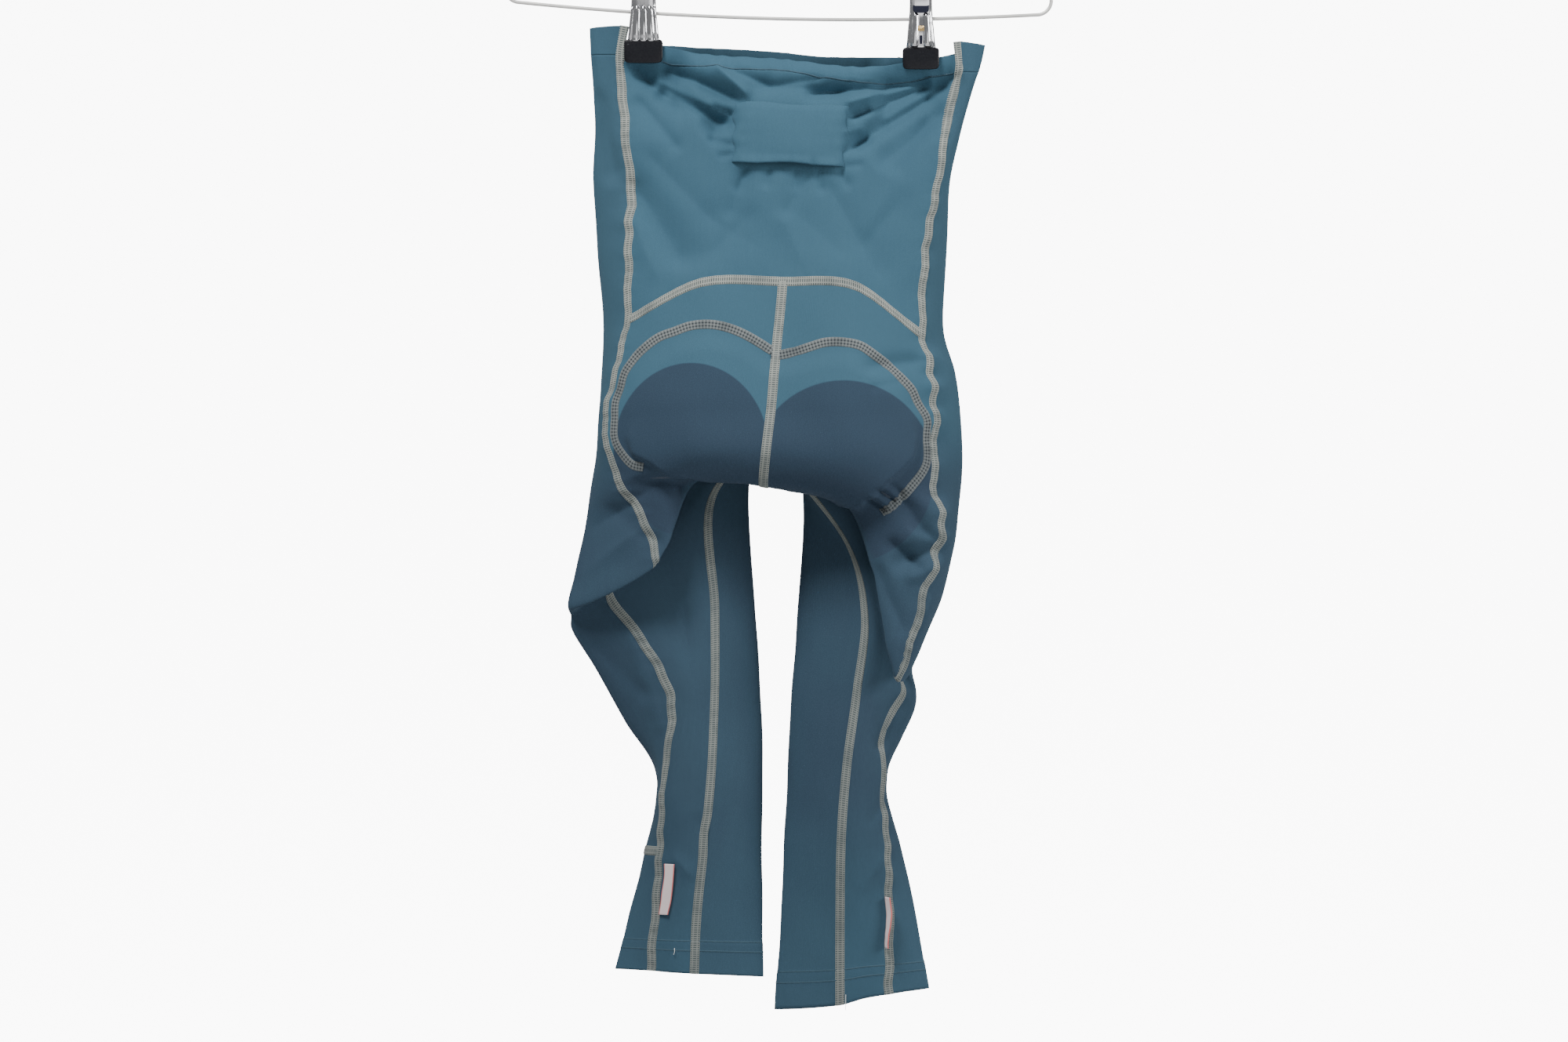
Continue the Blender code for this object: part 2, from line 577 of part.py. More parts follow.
def make_hanger(finish):
    """The bent frame with its bar, the hook, and the collar that holds them together."""
    centre_x = BAR_WIDTH / 2 - CORNER_RADIUS
    centre_z = bar_drop(centre_x) - CORNER_RADIUS
    slope = math.degrees(math.atan2(centre_z - CORNER_RADIUS - NECK_DROP - 6, centre_x))
    right = arc((centre_x, centre_z), CORNER_RADIUS, -86, 90 - slope, 8)
    neck = WIRE / 2 + 0.25
    shoulder = [(neck + out, NECK_DROP + below) for out, below in ((7, 9), (1.5, 5), (0, 2.6), (0, 0.5))]
    bar = [(x, bar_drop(x)) for x in np.linspace(-centre_x + 4, centre_x - 4, 23)]
    right_side = right + shoulder
    left_side = [(-x, z) for x, z in right_side][::-1]
    wire("hanger_frame", left_side + bar + right_side, WIRE, finish)

    hook_centre = (0.0, HOOK_RADIUS - HOOK_WIRE / 2)
    hook = arc(hook_centre, HOOK_RADIUS, 205, -48, 22)
    stem_top = hook[-1][1]
    swing = [(hook[-1][0] * (1 - smooth(0, 1, t)), stem_top + 15 * t) for t in (0.25, 0.5, 0.75, 1.0)]
    stem = [(0.0, NECK_DROP - COLLAR_LENGTH - 0.3)]
    wire("hanger_hook", hook + swing + stem, HOOK_WIRE, finish)

    collar = [(0.0, NECK_DROP - COLLAR_LENGTH), (0.0, NECK_DROP)]
    wire("hanger_collar", collar, COLLAR_DIAMETER, finish, sides=16)


def plate(name, clip, face, profile, thick, finish):
    """A bent plate of a clip: a profile of (depth, drop, half width) rows with a thickness, on one face."""
    places = np.array(profile, float)
    run = np.gradient(places[:, :2], axis=0)
    away = np.stack([run[:, 1], -run[:, 0]], axis=1)
    away /= np.linalg.norm(away, axis=1, keepdims=True)
    away *= np.sign(away[:, :1] + 1e-9)
    across = clip.across + np.array([-1, -0.33, 0.33, 1]) * places[:, 2:]

    def grid(depth, drop):
        places = np.broadcast_arrays(across, face * depth[:, None], -BAR_DROP - drop[:, None])
        return np.stack(places, axis=-1) * MM

    outer = grid(places[:, 0] + away[:, 0] * thick, places[:, 1] + away[:, 1] * thick)
    return add_wall(name, outer, grid(places[:, 0], places[:, 1]), finish)


def make_clips(finish):
    """Each clip: two chrome plates, their dark grips on the cloth, and a sleeve round the bar."""
    for clip in CLIPS:
        bar = -tilted(clip.across, bar_drop(clip.across))[2] / MM - BAR_DROP
        grip_top = clip.drop - clip.grip_height
        for face, name in ((-1, "back"), (1, "front")):
            hold = PINCHED + CLIP_GAP
            half = clip.width / 2
            grip = [
                (hold, clip.drop, half - 1.5),
                (hold, clip.drop - 3, half),
                (hold, clip.drop - 9, half),
                (hold, grip_top, half - 0.6),
            ]
            plate(f"clip_{clip.side}_grip_{name}", clip, face, grip, GRIP_THICK, finish["grip"])
            lip = hold + GRIP_THICK + CLIP_GAP
            body = [
                (lip, clip.drop - 6, half - 3),
                (lip, grip_top, half - 2.6),
                (lip + 1.2, grip_top - 4, half - 3.0),
                (SLEEVE_RADIUS + CLIP_GAP, bar + 4, half - 4.4),
                (SLEEVE_RADIUS + CLIP_GAP, bar - 4, half - 5.2),
                (SLEEVE_RADIUS + 2.6, bar - 12, half - 5.6),
                (SLEEVE_RADIUS + 8.5, bar - 27, half - 5.6),
            ]
            plate(f"clip_{clip.side}_plate_{name}", clip, face, body, PLATE_THICK, finish["chrome"])
        sleeve(f"clip_{clip.side}_sleeve", clip, bar, finish["chrome"])


def sleeve(name, clip, bar, finish):
    """A short tube round the bar, between the two plates of a clip."""
    hole = WIRE / 2 + 2.5 * CLIP_GAP
    angles = np.linspace(0, 2 * math.pi, 12, endpoint=False)
    slope = math.tan(math.radians(HANGER_TILT)) - 2 * BAR_SAG * clip.across / (BAR_WIDTH / 2) ** 2
    points = []
    for end, radius in ((-1, hole), (-1, SLEEVE_RADIUS), (1, SLEEVE_RADIUS), (1, hole)):
        x = end * SLEEVE_HALF
        centre = BAR_DROP + bar + slope * x
        for a in angles:
            y, z = radius * math.cos(a), radius * math.sin(a) - centre
            points.append(((clip.across + x) * MM, y * MM, z * MM))
    count = len(angles)
    faces = []
    for i in range(4):
        for j in range(count):
            a, b = i * count + j, i * count + (j + 1) % count
            c, d = ((i + 1) % 4) * count + (j + 1) % count, ((i + 1) % 4) * count + j
            faces.append([a, b, c, d])
    return add(name, points, faces, finish)


def main():
    """Clear the scene and build every piece."""
    for old in list(bpy.data.objects):
        bpy.data.objects.remove(old)
    finish = {
        "upper": material("upper cloth", (0.035, 0.105, 0.150), 0.85),
        "leg": material("leg cloth", (0.028, 0.085, 0.130), 0.85),
        "pad": material("pad foam", (0.05, 0.07, 0.10), 0.9),
        "tab": material("tab ribbon", (0.75, 0.62, 0.62), 0.7),
        "chrome": material("chrome wire", (0.75, 0.75, 0.76), 0.15, 1.0),
        "grip": material("dark grip", (0.015, 0.015, 0.018), 0.45),
    }
    make_cloth(finish)
    make_hanger(finish["chrome"])
    make_clips(finish)


main()
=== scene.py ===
"""The look of cycling tights on a clip hanger: stretch-knit panels, flatlock seams, braid, clips and wire.

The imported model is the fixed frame. Every cloth piece is part of one surface with two directions: U runs
round each half (0 centre back or inner leg seam, 2 side seam, 3 side fold, 7 centre front or inner leg seam,
negative on the left half), and V runs down from the waist in sections. The panels, the seams on them, the
pocket and the tabs are all worked out from it. Metres, +Z up, the back of the tights faces -Y.
"""

import logging
import math
from dataclasses import dataclass, field
from enum import Enum
from typing import NamedTuple, Sequence

import bpy
import numpy as np
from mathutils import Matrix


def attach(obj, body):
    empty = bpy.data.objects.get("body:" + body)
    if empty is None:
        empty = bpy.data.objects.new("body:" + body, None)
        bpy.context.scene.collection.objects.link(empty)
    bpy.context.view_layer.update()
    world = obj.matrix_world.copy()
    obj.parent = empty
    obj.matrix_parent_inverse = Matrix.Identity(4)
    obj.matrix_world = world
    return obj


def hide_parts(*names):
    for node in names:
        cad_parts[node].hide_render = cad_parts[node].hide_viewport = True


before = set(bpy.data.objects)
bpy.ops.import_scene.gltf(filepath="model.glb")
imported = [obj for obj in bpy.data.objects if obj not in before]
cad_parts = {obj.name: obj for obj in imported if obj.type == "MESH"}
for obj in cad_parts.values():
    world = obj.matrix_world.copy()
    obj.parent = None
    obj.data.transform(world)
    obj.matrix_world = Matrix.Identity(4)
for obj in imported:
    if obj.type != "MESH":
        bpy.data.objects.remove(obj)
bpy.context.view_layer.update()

LOG = logging.getLogger("tights")
MM = 0.001
# How far the bar's lowest place lies below the origin. A drop is measured from there, in millimetres.
BAR_DROP = 200.0
# Half the space between the two layers of the waistband where a clip holds them, in millimetres.
PINCHED_MM = 1.9
SIDES = ((-1, "left"), (1, "right"))
Array = np.ndarray
Material, Piece, Socket = bpy.types.Material, bpy.types.Object, bpy.types.NodeSocket


# Places
class Half(NamedTuple):
    """One section of a half: places (across, depth, drop) in millimetres, and the depth of its front.

    Below the crotch a half has its own centre, the inner leg seam.
    """

    name: str
    middle: tuple
    seam: tuple
    side: tuple
    inner: tuple
    front: float
    centre: tuple = ()


class Centre(NamedTuple):
    """The centre back and centre front of one section down to the crotch."""

    back: tuple
    front: tuple


# The centre seams at the first sections, down to the crotch, where the four panels meet.
CENTRE = tuple(Centre(*row) for row in (
    ((-3, -4, 31), (0, 12, 25)), ((-3, -12, 40), (0, 13, 37)),
    ((-2, -17, 76), (0, 17, 70)), ((-2, -23, 122), (0, 22, 108)),
    ((-1, -30, 166), (0, 26, 148)), ((-1, -38, 202), (-1, 29, 182)),
    ((-6, -47, 256), (-3, 31, 218)), ((-9, -53, 295), (-6, 33, 248)),
    ((-13, -54, 331), (-10, 34, 274)), ((-15, -45, 349), (-13, 33, 287)),
    ((-15, -32, 355), (-15, 31, 299)), ((-15, -14, 350), (-15, 23, 311)),
    ((-15, 6, 322), (-15, 6, 322)),
))

# Each half from the waist to the hem.
LEFT = tuple(Half(*row) for row in (
    ("waist", (-63, -4, 27), (-122, -3, 16), (-149, 0, 18), (-28, 11, 23), 9),
    ("band", (-63, -11, 37), (-126, -5, 28), (-148, 1, 28), (-28, 13, 35), 12),
    ("pocket", (-63, -16, 76), (-123, -9, 76), (-145, 3, 76), (-29, 17, 70), 17),
    ("loin", (-62, -23, 122), (-119, -16, 122), (-146, 5, 122), (-29, 22, 108), 22),
    ("hip", (-62, -31, 166), (-119, -22, 176), (-143, 5, 175), (-29, 26, 148), 27),
    ("yoke", (-63, -41, 203), (-120, -28, 232), (-138, 4, 236), (-30, 29, 182), 30),
    ("pad top", (-69, -53, 259), (-128, -31, 268), (-140, 3, 278), (-31, 31, 218), 33),
    ("pad middle", (-73, -60, 298), (-137, -30, 308), (-140, 2, 313), (-32, 33, 248), 34),
    ("pad low", (-72, -58, 334), (-127, -33, 353), (-148, 1, 361), (-31, 33, 275), 35),
    ("pad edge", (-70, -46, 349), (-110, -36, 379), (-154, -2, 398), (-30, 33, 290), 35),
    ("flap", (-67, -35, 353), (-100, -38, 400), (-160, -6, 426), (-28, 32, 303), 35),
    ("flap edge", (-66, -24, 354), (-97, -39, 417), (-165, -9, 450), (-27, 28, 317), 34),
    ("crotch", (-62, -8, 338), (-116, -21, 407), (-163, -1, 457), (-26, 22, 334), 33),
    ("thigh", (-94, -10, 404), (-133, -11, 440), (-163, 3, 466), (-27, 13, 374), 32, (-55, -4, 366)),
    ("low thigh", (-80, -13, 463), (-107, -13, 476), (-146, 4, 495), (-22, 10, 454), 33, (-53, -8, 451)),
    ("knee", (-68, -21, 517), (-85, -18, 521), (-122, 6, 538), (-18, 8, 514), 34, (-53, -16, 514)),
    ("below knee", (-74, -27, 580), (-92, -22, 580), (-97.5, 4, 580), (-16, 6, 580), 35, (-56, -24, 580)),
    ("calf", (-78, -24, 640), (-95, -17, 640), (-107, 3, 640), (-17, 3, 640), 27, (-62, -22, 640)),
    ("low calf", (-82, -18, 686), (-98, -12, 686), (-119, 2, 686), (-16.5, 2, 687), 20, (-67, -17, 686)),
    ("hem", (-85, -13, 729), (-101, -9, 728), (-129, 1, 727), (-16, 1, 733), 13, (-69, -12, 730)),
))
RIGHT = tuple(Half(*row) for row in (
    ("waist", (63, -4, 37), (133, -3, 28), (154, 0, 31), (27, 11, 28), 9),
    ("band", (64, -11, 47), (135, -5, 41), (149, 1, 41), (28, 13, 39), 12),
    ("pocket", (61, -16, 77), (127, -9, 76), (138, 3, 77), (29, 17, 71), 17),
    ("loin", (58, -23, 123), (119, -16, 123), (127, 4, 123), (29, 22, 108), 22),
    ("hip", (55, -31, 167), (109, -22, 176), (125, 4, 176), (28, 26, 148), 27),
    ("yoke", (53, -41, 205), (106, -28, 243), (122, 4, 238), (28, 29, 182), 30),
    ("pad top", (53, -53, 263), (113, -31, 273), (131, 3, 271), (27, 31, 218), 33),
    ("pad middle", (54, -60, 304), (116, -31, 314), (136, 2, 314), (25, 33, 248), 34),
    ("pad low", (54, -58, 344), (114, -33, 353), (136, 1, 353), (22, 33, 275), 35),
    ("pad edge", (53, -46, 365), (122, -35, 394), (131, -2, 394), (19, 33, 290), 35),
    ("flap", (49, -35, 370), (106, -37, 443), (121, -8, 440), (17, 32, 303), 35),
    ("flap edge", (46, -24, 370), (87, -36, 506), (99, -14, 492), (14, 28, 318), 34),
    ("crotch", (50, -8, 336), (85, -23, 485), (98, -4, 501), (13, 22, 336), 33),
    ("thigh", (68, -10, 424), (87, -12, 492), (101, 1, 512), (15, 13, 384), 32, (50, -6, 405)),
    ("low thigh", (77, -13, 487), (91, -9, 516), (101, 5, 526), (10, 10, 457), 33, (62, -12, 457)),
    ("knee", (68, -18, 530), (77, -12, 543), (90, 6, 551), (6, 8, 514), 34, (56, -18, 514)),
    ("below knee", (62, -24, 578), (76, -15, 582), (77.5, 5, 583), (3, 6, 572), 35, (48, -23, 572)),
    ("calf", (61, -24, 629), (79, -15, 633), (90, 4, 634), (0, 4, 625), 29, (44, -23, 625)),
    ("low calf", (62, -19, 682), (80, -12, 684), (101, 2, 685), (-2, 2, 680), 21, (43, -18, 680)),
    ("hem", (61, -12, 749), (79, -9, 746), (111, 1, 742), (-7, 1, 758), 13, (43, -12, 754)),
))


class Clip(NamedTuple):
    """Where a clip holds the waistband, and the size of its tips, in millimetres."""

    side: str
    across: float
    drop: float
    width: float
    grip_height: float


CLIPS = (
    Clip("left", -107.5, 34.2, 29.5, 18.5),
    Clip("right", 104.7, 39.0, 28.0, 17.0),
)


class Fold(NamedTuple):
    """A soft trough or ridge: the sections it lies in, where its run starts and ends, and its size in mm."""

    first: int
    last: int
    from_across: float
    from_drop: float
    to_across: float
    to_drop: float
    width: float
    height: float


# Soft troughs and ridges of the cloth.
FOLDS = tuple(Fold(*row) for row in (
    (0, 3, -117, 36, -42, 84, 9, -4), (0, 3, -92, 36, -34, 62, 7, -3.2),
    (0, 3, -54, 36, -28, 60, 8, 2.6), (0, 3, 104, 45, 18, 57, 8, -3.2),
    (0, 3, 126, 43, 50, 95, 10, -4.4), (1, 4, 122, 66, 72, 106, 10, -2.6),
    (1, 5, -117, 124, -72, 190, 15, -3), (1, 4, -145, 58, -131, 124, 8, -2.6),
    (1, 4, -40, 72, -58, 88, 7, -2.4), (5, 8, 104, 262, 62, 268, 7, -2.2),
    (8, 11, 86, 362, 112, 398, 8, -3.5), (8, 11, 122, 402, 84, 418, 8, -4.5),
))


# Smaller folds that only the finished cloth has.
CREASES = tuple(Fold(*row) for row in (
    (0, 3, -119, 35, -91, 59, 4.6, -1.9), (0, 3, -96, 57, -40, 83, 5, -2),
    (0, 3, -91, 37, -32, 64, 4, -1.7), (0, 3, -98, 47, -42, 74, 3.8, 1.3),
    (0, 3, -52, 37, -28, 59, 3.2, 1.4), (0, 3, -26, 52, 46, 54, 8, -1.9),
    (0, 3, 110, 47, 19, 57, 4, -1.8), (0, 3, 111, 49, 51, 76, 4, -1.8),
    (0, 3, 100, 51, 48, 65, 3.4, 1.2), (0, 4, 133, 43, 111, 61, 4.6, -2),
    (0, 4, 114, 59, 52, 98, 5, -2), (1, 4, 122, 71, 73, 113, 7, -1.5),
    (2, 5, 19, 120, 0, 152, 6.5, -1.4), (2, 5, -104, 104, -52, 158, 11, -1.2),
    (2, 5, -24, 148, -74, 198, 9, -1.1), (2, 5, -118, 150, -96, 200, 8, 0.9),
    (2, 5, 34, 128, 74, 200, 10, -1.2), (3, 5, -2, 152, 22, 206, 8, 0.9),
    (3, 5, 92, 108, 60, 168, 9, 0.9), (2, 5, -29, 118, -42, 152, 6, -1.3),
    (1, 3, -54, 68, -38, 74, 3.2, -1.6), (1, 3, -52, 79, -38, 84, 2.6, 0.9),
    (1, 3, -57, 92, -39, 98, 3.4, -1.6), (1, 4, -50, 106, -38, 104, 3, -1),
    (1, 3, 49, 75, 66, 68, 3, -1.3), (1, 3, 47, 88, 62, 84, 3, 0.9),
    (1, 4, 46, 102, 66, 92, 4, -1.5), (1, 4, 46, 114, 60, 112, 3.4, -0.8),
    (2, 4, -30, 116, -36, 132, 4.5, -1.2), (2, 4, -12, 117, -14, 130, 4, -0.9),
    (2, 4, 8, 118, 9, 131, 4, -0.9), (2, 4, 25, 118, 29, 134, 4.5, -1.1),
    (2, 4, 42, 116, 50, 130, 4.5, -1.1), (0, 3, -50, 36, -12, 50, 5, -1.8),
    (0, 3, 30, 44, -14, 52, 4, -1.2), (1, 3, 92, 48, 50, 74, 5, -1.8),
    (1, 3, 112, 54, 76, 78, 4.5, 1.6), (1, 3, -100, 50, -62, 78, 4.5, 1.4),
    (1, 4, -112, 62, -80, 100, 6, -1.4), (1, 4, 110, 78, 84, 118, 7, -1.4),
    (2, 5, -117, 125, -76, 190, 9, -1.2), (3, 5, 96, 130, 60, 176, 9, -1),
    (3, 5, -60, 150, -20, 176, 12, -0.9), (3, 5, 10, 150, 46, 182, 12, -0.9),
    (6, 8, 54, 268, 78, 264, 3.2, -1.3), (6, 8, 62, 275, 88, 268, 3, 1.1),
    (6, 8, 66, 284, 94, 276, 3.4, -1.2), (6, 8, -104, 262, -90, 270, 3, -0.8),
    (8, 11, 62, 367, 77, 377, 1.8, -2.2), (8, 11, 66, 363, 81, 374, 1.6, 0.9),
    (8, 11, 70, 360, 84, 370, 1.8, -2.3), (8, 11, 74, 357, 88, 367, 1.6, 0.9),
    (8, 11, 78, 354, 91, 363, 1.8, -2.2), (8, 11, 82, 351, 94, 360, 1.6, 0.8),
    (8, 11, 86, 347, 97, 356, 1.8, -2), (9, 12, 96, 392, 120, 404, 4, 2.4),
    (9, 12, 80, 400, 104, 420, 5, -2.6), (9, 12, 94, 428, 118, 414, 4.5, 1.8),
    (9, 12, 70, 420, 92, 470, 6, -1.6), (9, 12, 112, 440, 96, 486, 5, 1.4),
    (8, 11, -124, 322, -104, 344, 5, -2.2), (8, 11, -118, 352, -66, 362, 6.5, -4.2),
    (8, 12, -150, 392, -104, 362, 8, -1.8), (8, 12, -158, 430, -112, 392, 7, 1.6),
    (8, 12, -140, 372, -92, 404, 7, -1.4), (13, 16, -150, 478, -104, 520, 7, -1.6),
    (13, 16, -118, 470, -92, 545, 6, 1.2), (13, 15, -76, 450, -70, 520, 8, -1.1),
    (14, 17, -116, 560, -96, 588, 5, -1.4), (16, 18, -84, 640, -70, 655, 6, 1),
    (16, 18, -66, 610, -52, 640, 7, -0.8), (13, 16, 90, 520, 72, 560, 5, -1.2),
    (15, 17, 84, 590, 64, 618, 6, -1.2), (16, 18, 76, 640, 58, 668, 6, 0.9),
))


# The cloth surface

# The braid round the seat pad, and the edge of the pad's thick body, as places (across, drop) on the back.
PAD_OUTLINE = {
    "left": (
        (-9.0, 255.6), (-19.2, 249.0), (-32.4, 241.8), (-45.6, 237.0), (-58.2, 235.2), (-71.4, 236.4),
        (-83.4, 240.6), (-94.8, 244.8), (-105.0, 252.0), (-114.6, 261.6), (-121.5, 273.6), (-126.0, 286.8),
        (-128.7, 299.4), (-129.3, 311.4), (-128.0, 322.8), (-123.6, 332.4), (-115.8, 341.4), (-106.8, 343.8),
    ),
    "right": (
        (-10.0, 258.6), (-3.6, 258.6), (6.6, 256.5), (18.6, 252.6), (31.2, 249.0), (44.4, 248.8),
        (57.6, 251.4), (69.0, 258.6), (81.0, 267.6), (91.2, 277.8), (99.6, 289.2), (106.2, 302.4),
        (109.2, 315.6), (109.8, 328.2), (106.8, 341.4), (100.5, 353.4), (91.2, 364.8), (81.0, 373.8),
        (73.8, 378.0),
    ),
}
PAD_BODY = (
    (-10, 264), (-32, 248), (-58, 242.5), (-84, 248), (-104, 260), (-116, 280), (-121, 300), (-120, 321),
    (-114, 334), (-100, 341), (-87, 351.5), (-67, 352), (-30, 353), (0, 358), (35, 369), (57, 375), (72, 362),
    (86, 349), (97, 338), (103, 322), (102, 306), (95, 290), (84, 277), (68, 264.5), (48, 256), (26, 256.5),
    (4, 263),
)
HALVES = {-1: LEFT, 1: RIGHT}
# Lines that run down each half, and the section where the four panels meet.
LINES = 8
CROTCH = [row.name for row in LEFT].index("crotch")


def smooth(low: float, high: float, value: Array) -> Array:
    """0 below low, 1 above high, and an even slope between: t * t * (3 - 2 * t)."""
    share = np.clip((value - low) / (high - low), 0, 1)
    return share * share * (3 - 2 * share)


@dataclass
class ClothForm:
    """The one surface that every cloth piece is part of.

    Eight lines of each half run down through the sections as smooth curves, and a smooth curve through the
    eight lines runs round at each height. Folds are bells across a straight run that fade at its ends.

    Fields in pairs say where an even slope starts and ends: back_edge and front_edge on the size of u,
    front_foot, parting and loud_folds on v, and the pinch's pairs in millimetres from a clip.
    """

    band: int = 1
    yoke: int = 5
    calf_seam: float = 16.93
    front_seam: float = 4.5
    front_shares: tuple = (0.28, 0.72)
    front_lines: tuple = (4, 5)
    straight_front: tuple = (8, 13)
    parting: tuple = (11.2, 12.0)
    back_edge: tuple = (2.3, 3.0)
    front_edge: tuple = (3.2, 4.0)
    front_foot: tuple = (2.2, 3.2)
    corner_rise: float = 10.5
    pinch_aside: tuple = (11, 27)
    pinch_below: tuple = (9, 62)
    pinch_folds: tuple = (2, 14)
    pinch_kept: float = 0.75
    crease_gain: float = 1.7
    crease_bell: float = 1.35
    fold_gain: float = 0.6
    fold_bell: float = 1.5
    loud_folds: tuple = (2.8, 4.2)
    hem_mm: float = 24.0
    hem_step_mm: float = 0.35
    hem_wall_mm: float = 0.7
    last: int = len(LEFT) - 1
    lines: dict = field(default_factory=dict)
    tangents: dict = field(default_factory=dict)

    def __post_init__(self) -> None:
        """Work out the lines of both halves and their directions."""
        for sign, half in HALVES.items():
            self.lines[sign] = self._stations(half)
            self.tangents[sign] = self._slopes(self.lines[sign], (CROTCH, [0, LINES - 1]))

    def _stations(self, half: Sequence[Half]) -> Array:
        """The eight lines of one half at every section, in metres: (section, line, 3)."""
        rows = []
        for number, row in enumerate(half):
            above = number <= CROTCH
            first, last = (CENTRE[number].back, CENTRE[number].front) if above else (row.centre, row.centre)
            side, inner = np.array(row.side, float), np.array(row.inner, float)
            fronts = [side + share * (inner - side) for share in self.front_shares]
            for place in fronts:
                place[1] = row.front
            rows.append([first, row.middle, row.seam, row.side, *map(tuple, fronts), row.inner, last])
        places = np.array(rows, float) * MM
        places[..., 2] = -BAR_DROP * MM - places[..., 2]
        first, last = self.straight_front
        for line in self.front_lines:
            ends = places[first, line], places[last, line]
            places[first : last + 1, line] = np.linspace(*ends, last - first + 1)
        return places

    @staticmethod
    def _slopes(places: Array, corner: tuple | None = None) -> tuple[Array, Array, Array]:
        """Step lengths and end tangents of a smooth curve, whose parameter grows by the root of the distance.

        Args:
            places: points along the first axis.
            corner: a number of a point and the lines that turn sharply there.

        Returns:
            Step lengths, and the tangent at each step's start and end.
        """
        step = np.sqrt(np.linalg.norm(np.diff(places, axis=0), axis=-1, keepdims=True)) + 1e-6
        rate = np.diff(places, axis=0) / step
        middle = (rate[:-1] * step[1:] + rate[1:] * step[:-1]) / (step[:-1] + step[1:])
        tangent = np.concatenate([rate[:1], middle, rate[-1:]])
        start, end = tangent[:-1].copy(), tangent[1:].copy()
        if corner is not None:
            index, lines = corner
            start[index][lines] = rate[index][lines]
            end[index - 1][lines] = rate[index - 1][lines]
        return step, start, end

    @staticmethod
    def _hermite(first: Array, last: Array, start: Array, end: Array, step: Array, share: Array) -> Array:
        """The point at a share of the way along each step, by the four cubic Hermite weights."""
        square, cube = share**2, share**3
        ends = (2 * cube - 3 * square + 1) * first + (3 * square - 2 * cube) * last
        return ends + (cube - 2 * square + share) * step * start + (cube - square) * step * end

    def _down(self, sign: int, v: Array) -> Array:
        """The eight lines of a half at each v: (..., line, 3)."""
        places, (step, start, end) = self.lines[sign], self.tangents[sign]
        k = np.clip(np.floor(v).astype(int), 0, self.last - 1)
        share = (v - k)[..., None, None]
        return self._hermite(places[k], places[k + 1], start[k], end[k], step[k], share)

    def _half(self, sign: int, u: Array, v: Array) -> Array:
        """Points of one half at u from 0 to 7, before folds."""
        own, other = self._down(sign, v), self._down(-sign, v)
        parted = smooth(*self.parting, v)[..., None]
        before = parted * own[..., LINES - 2, :] + (1 - parted) * other[..., 1, :]
        after = parted * own[..., 1, :] + (1 - parted) * other[..., LINES - 2, :]
        line = np.concatenate([before[..., None, :], own, after[..., None, :]], axis=-2)
        line = np.moveaxis(line, -2, 0)
        step, start, end = self._slopes(line)
        k = np.clip(np.floor(u).astype(int), 0, LINES - 2)
        share = (u - k)[..., None]
        pick = np.indices(u.shape)

        def at(values: Array, index: Array) -> Array:
            """The values of each point's own step."""
            return values[(index, *pick)]

        ends, slopes = (at(line, k + 1), at(line, k + 2)), (at(start, k + 1), at(end, k + 1))
        return self._hermite(*ends, *slopes, at(step, k + 1), share)

    def bare(self, u: Array, v: Array) -> Array:
        """Points of the surface at u from -7 to 7, before folds."""
        u, v = np.broadcast_arrays(np.asarray(u, float), np.asarray(v, float))
        made = np.zeros((*u.shape, 3))
        for sign in (-1, 1):
            here = (u < 0) == (sign < 0)
            if here.any():
                made[here] = self._half(sign, np.abs(u[here]), v[here])
        return made

    def _direction(self, surface: object, u: Array, v: Array, small: float) -> Array:
        """Outward directions, from the surface's slopes along u and v."""
        sign, size = np.where(u < 0, -1, 1), np.abs(u)
        lower, upper = np.clip(size - small, 1e-6, LINES - 1), np.clip(size + small, 0, LINES - 1)
        above, below = np.clip(v - small, 0, self.last), np.clip(v + small, 0, self.last)
        round_it = surface(sign * upper, v) - surface(sign * lower, v)
        down_it = surface(u, below) - surface(u, above)
        normal = np.cross(down_it, round_it) * sign[..., None]
        return normal / (np.linalg.norm(normal, axis=-1, keepdims=True) + 1e-12)

    def facing(self, surface: object, u: Array, v: Array, small: float = 0.1) -> Array:
        """Outward directions of length 1, each between the directions above and below it."""
        apart = 1.2 * small
        above = self._direction(surface, u, np.clip(v - apart, 0, self.last), small)
        both = above + self._direction(surface, u, np.clip(v + apart, 0, self.last), small)
        return both / (np.linalg.norm(both, axis=-1, keepdims=True) + 1e-12)

    @staticmethod
    def folds(points: Array, v: Array, rows: Sequence[Fold], round_off: float = 2.0) -> Array:
        """How far folds lift the cloth, in millimetres.

        A fold is height * exp(-|off / width| ** round_off) across its run, and fades at both of its ends.
        """
        height = np.zeros(v.shape)
        across, drop = points[..., 0] / MM, -BAR_DROP - points[..., 2] / MM
        for fold in rows:
            run = fold.to_across - fold.from_across, fold.to_drop - fold.from_drop
            length = np.hypot(*run)
            x, z = across - fold.from_across, drop - fold.from_drop
            along, off = (x * run[0] + z * run[1]) / length, (z * run[0] - x * run[1]) / length
            reach = smooth(-fold.width, fold.width, along) * smooth(-fold.width, fold.width, length - along)
            inside = smooth(fold.first, fold.first + 0.7, v) * smooth(-fold.last, 0.7 - fold.last, -v)
            height += inside * fold.height * reach * np.exp(-(np.abs(off / fold.width) ** round_off))
        return height

    def cloth(self, u: Array, v: Array) -> Array:
        """The surface with its large folds, the pinch at the clips and the raised corners."""
        return self.surface(u, v)[0]

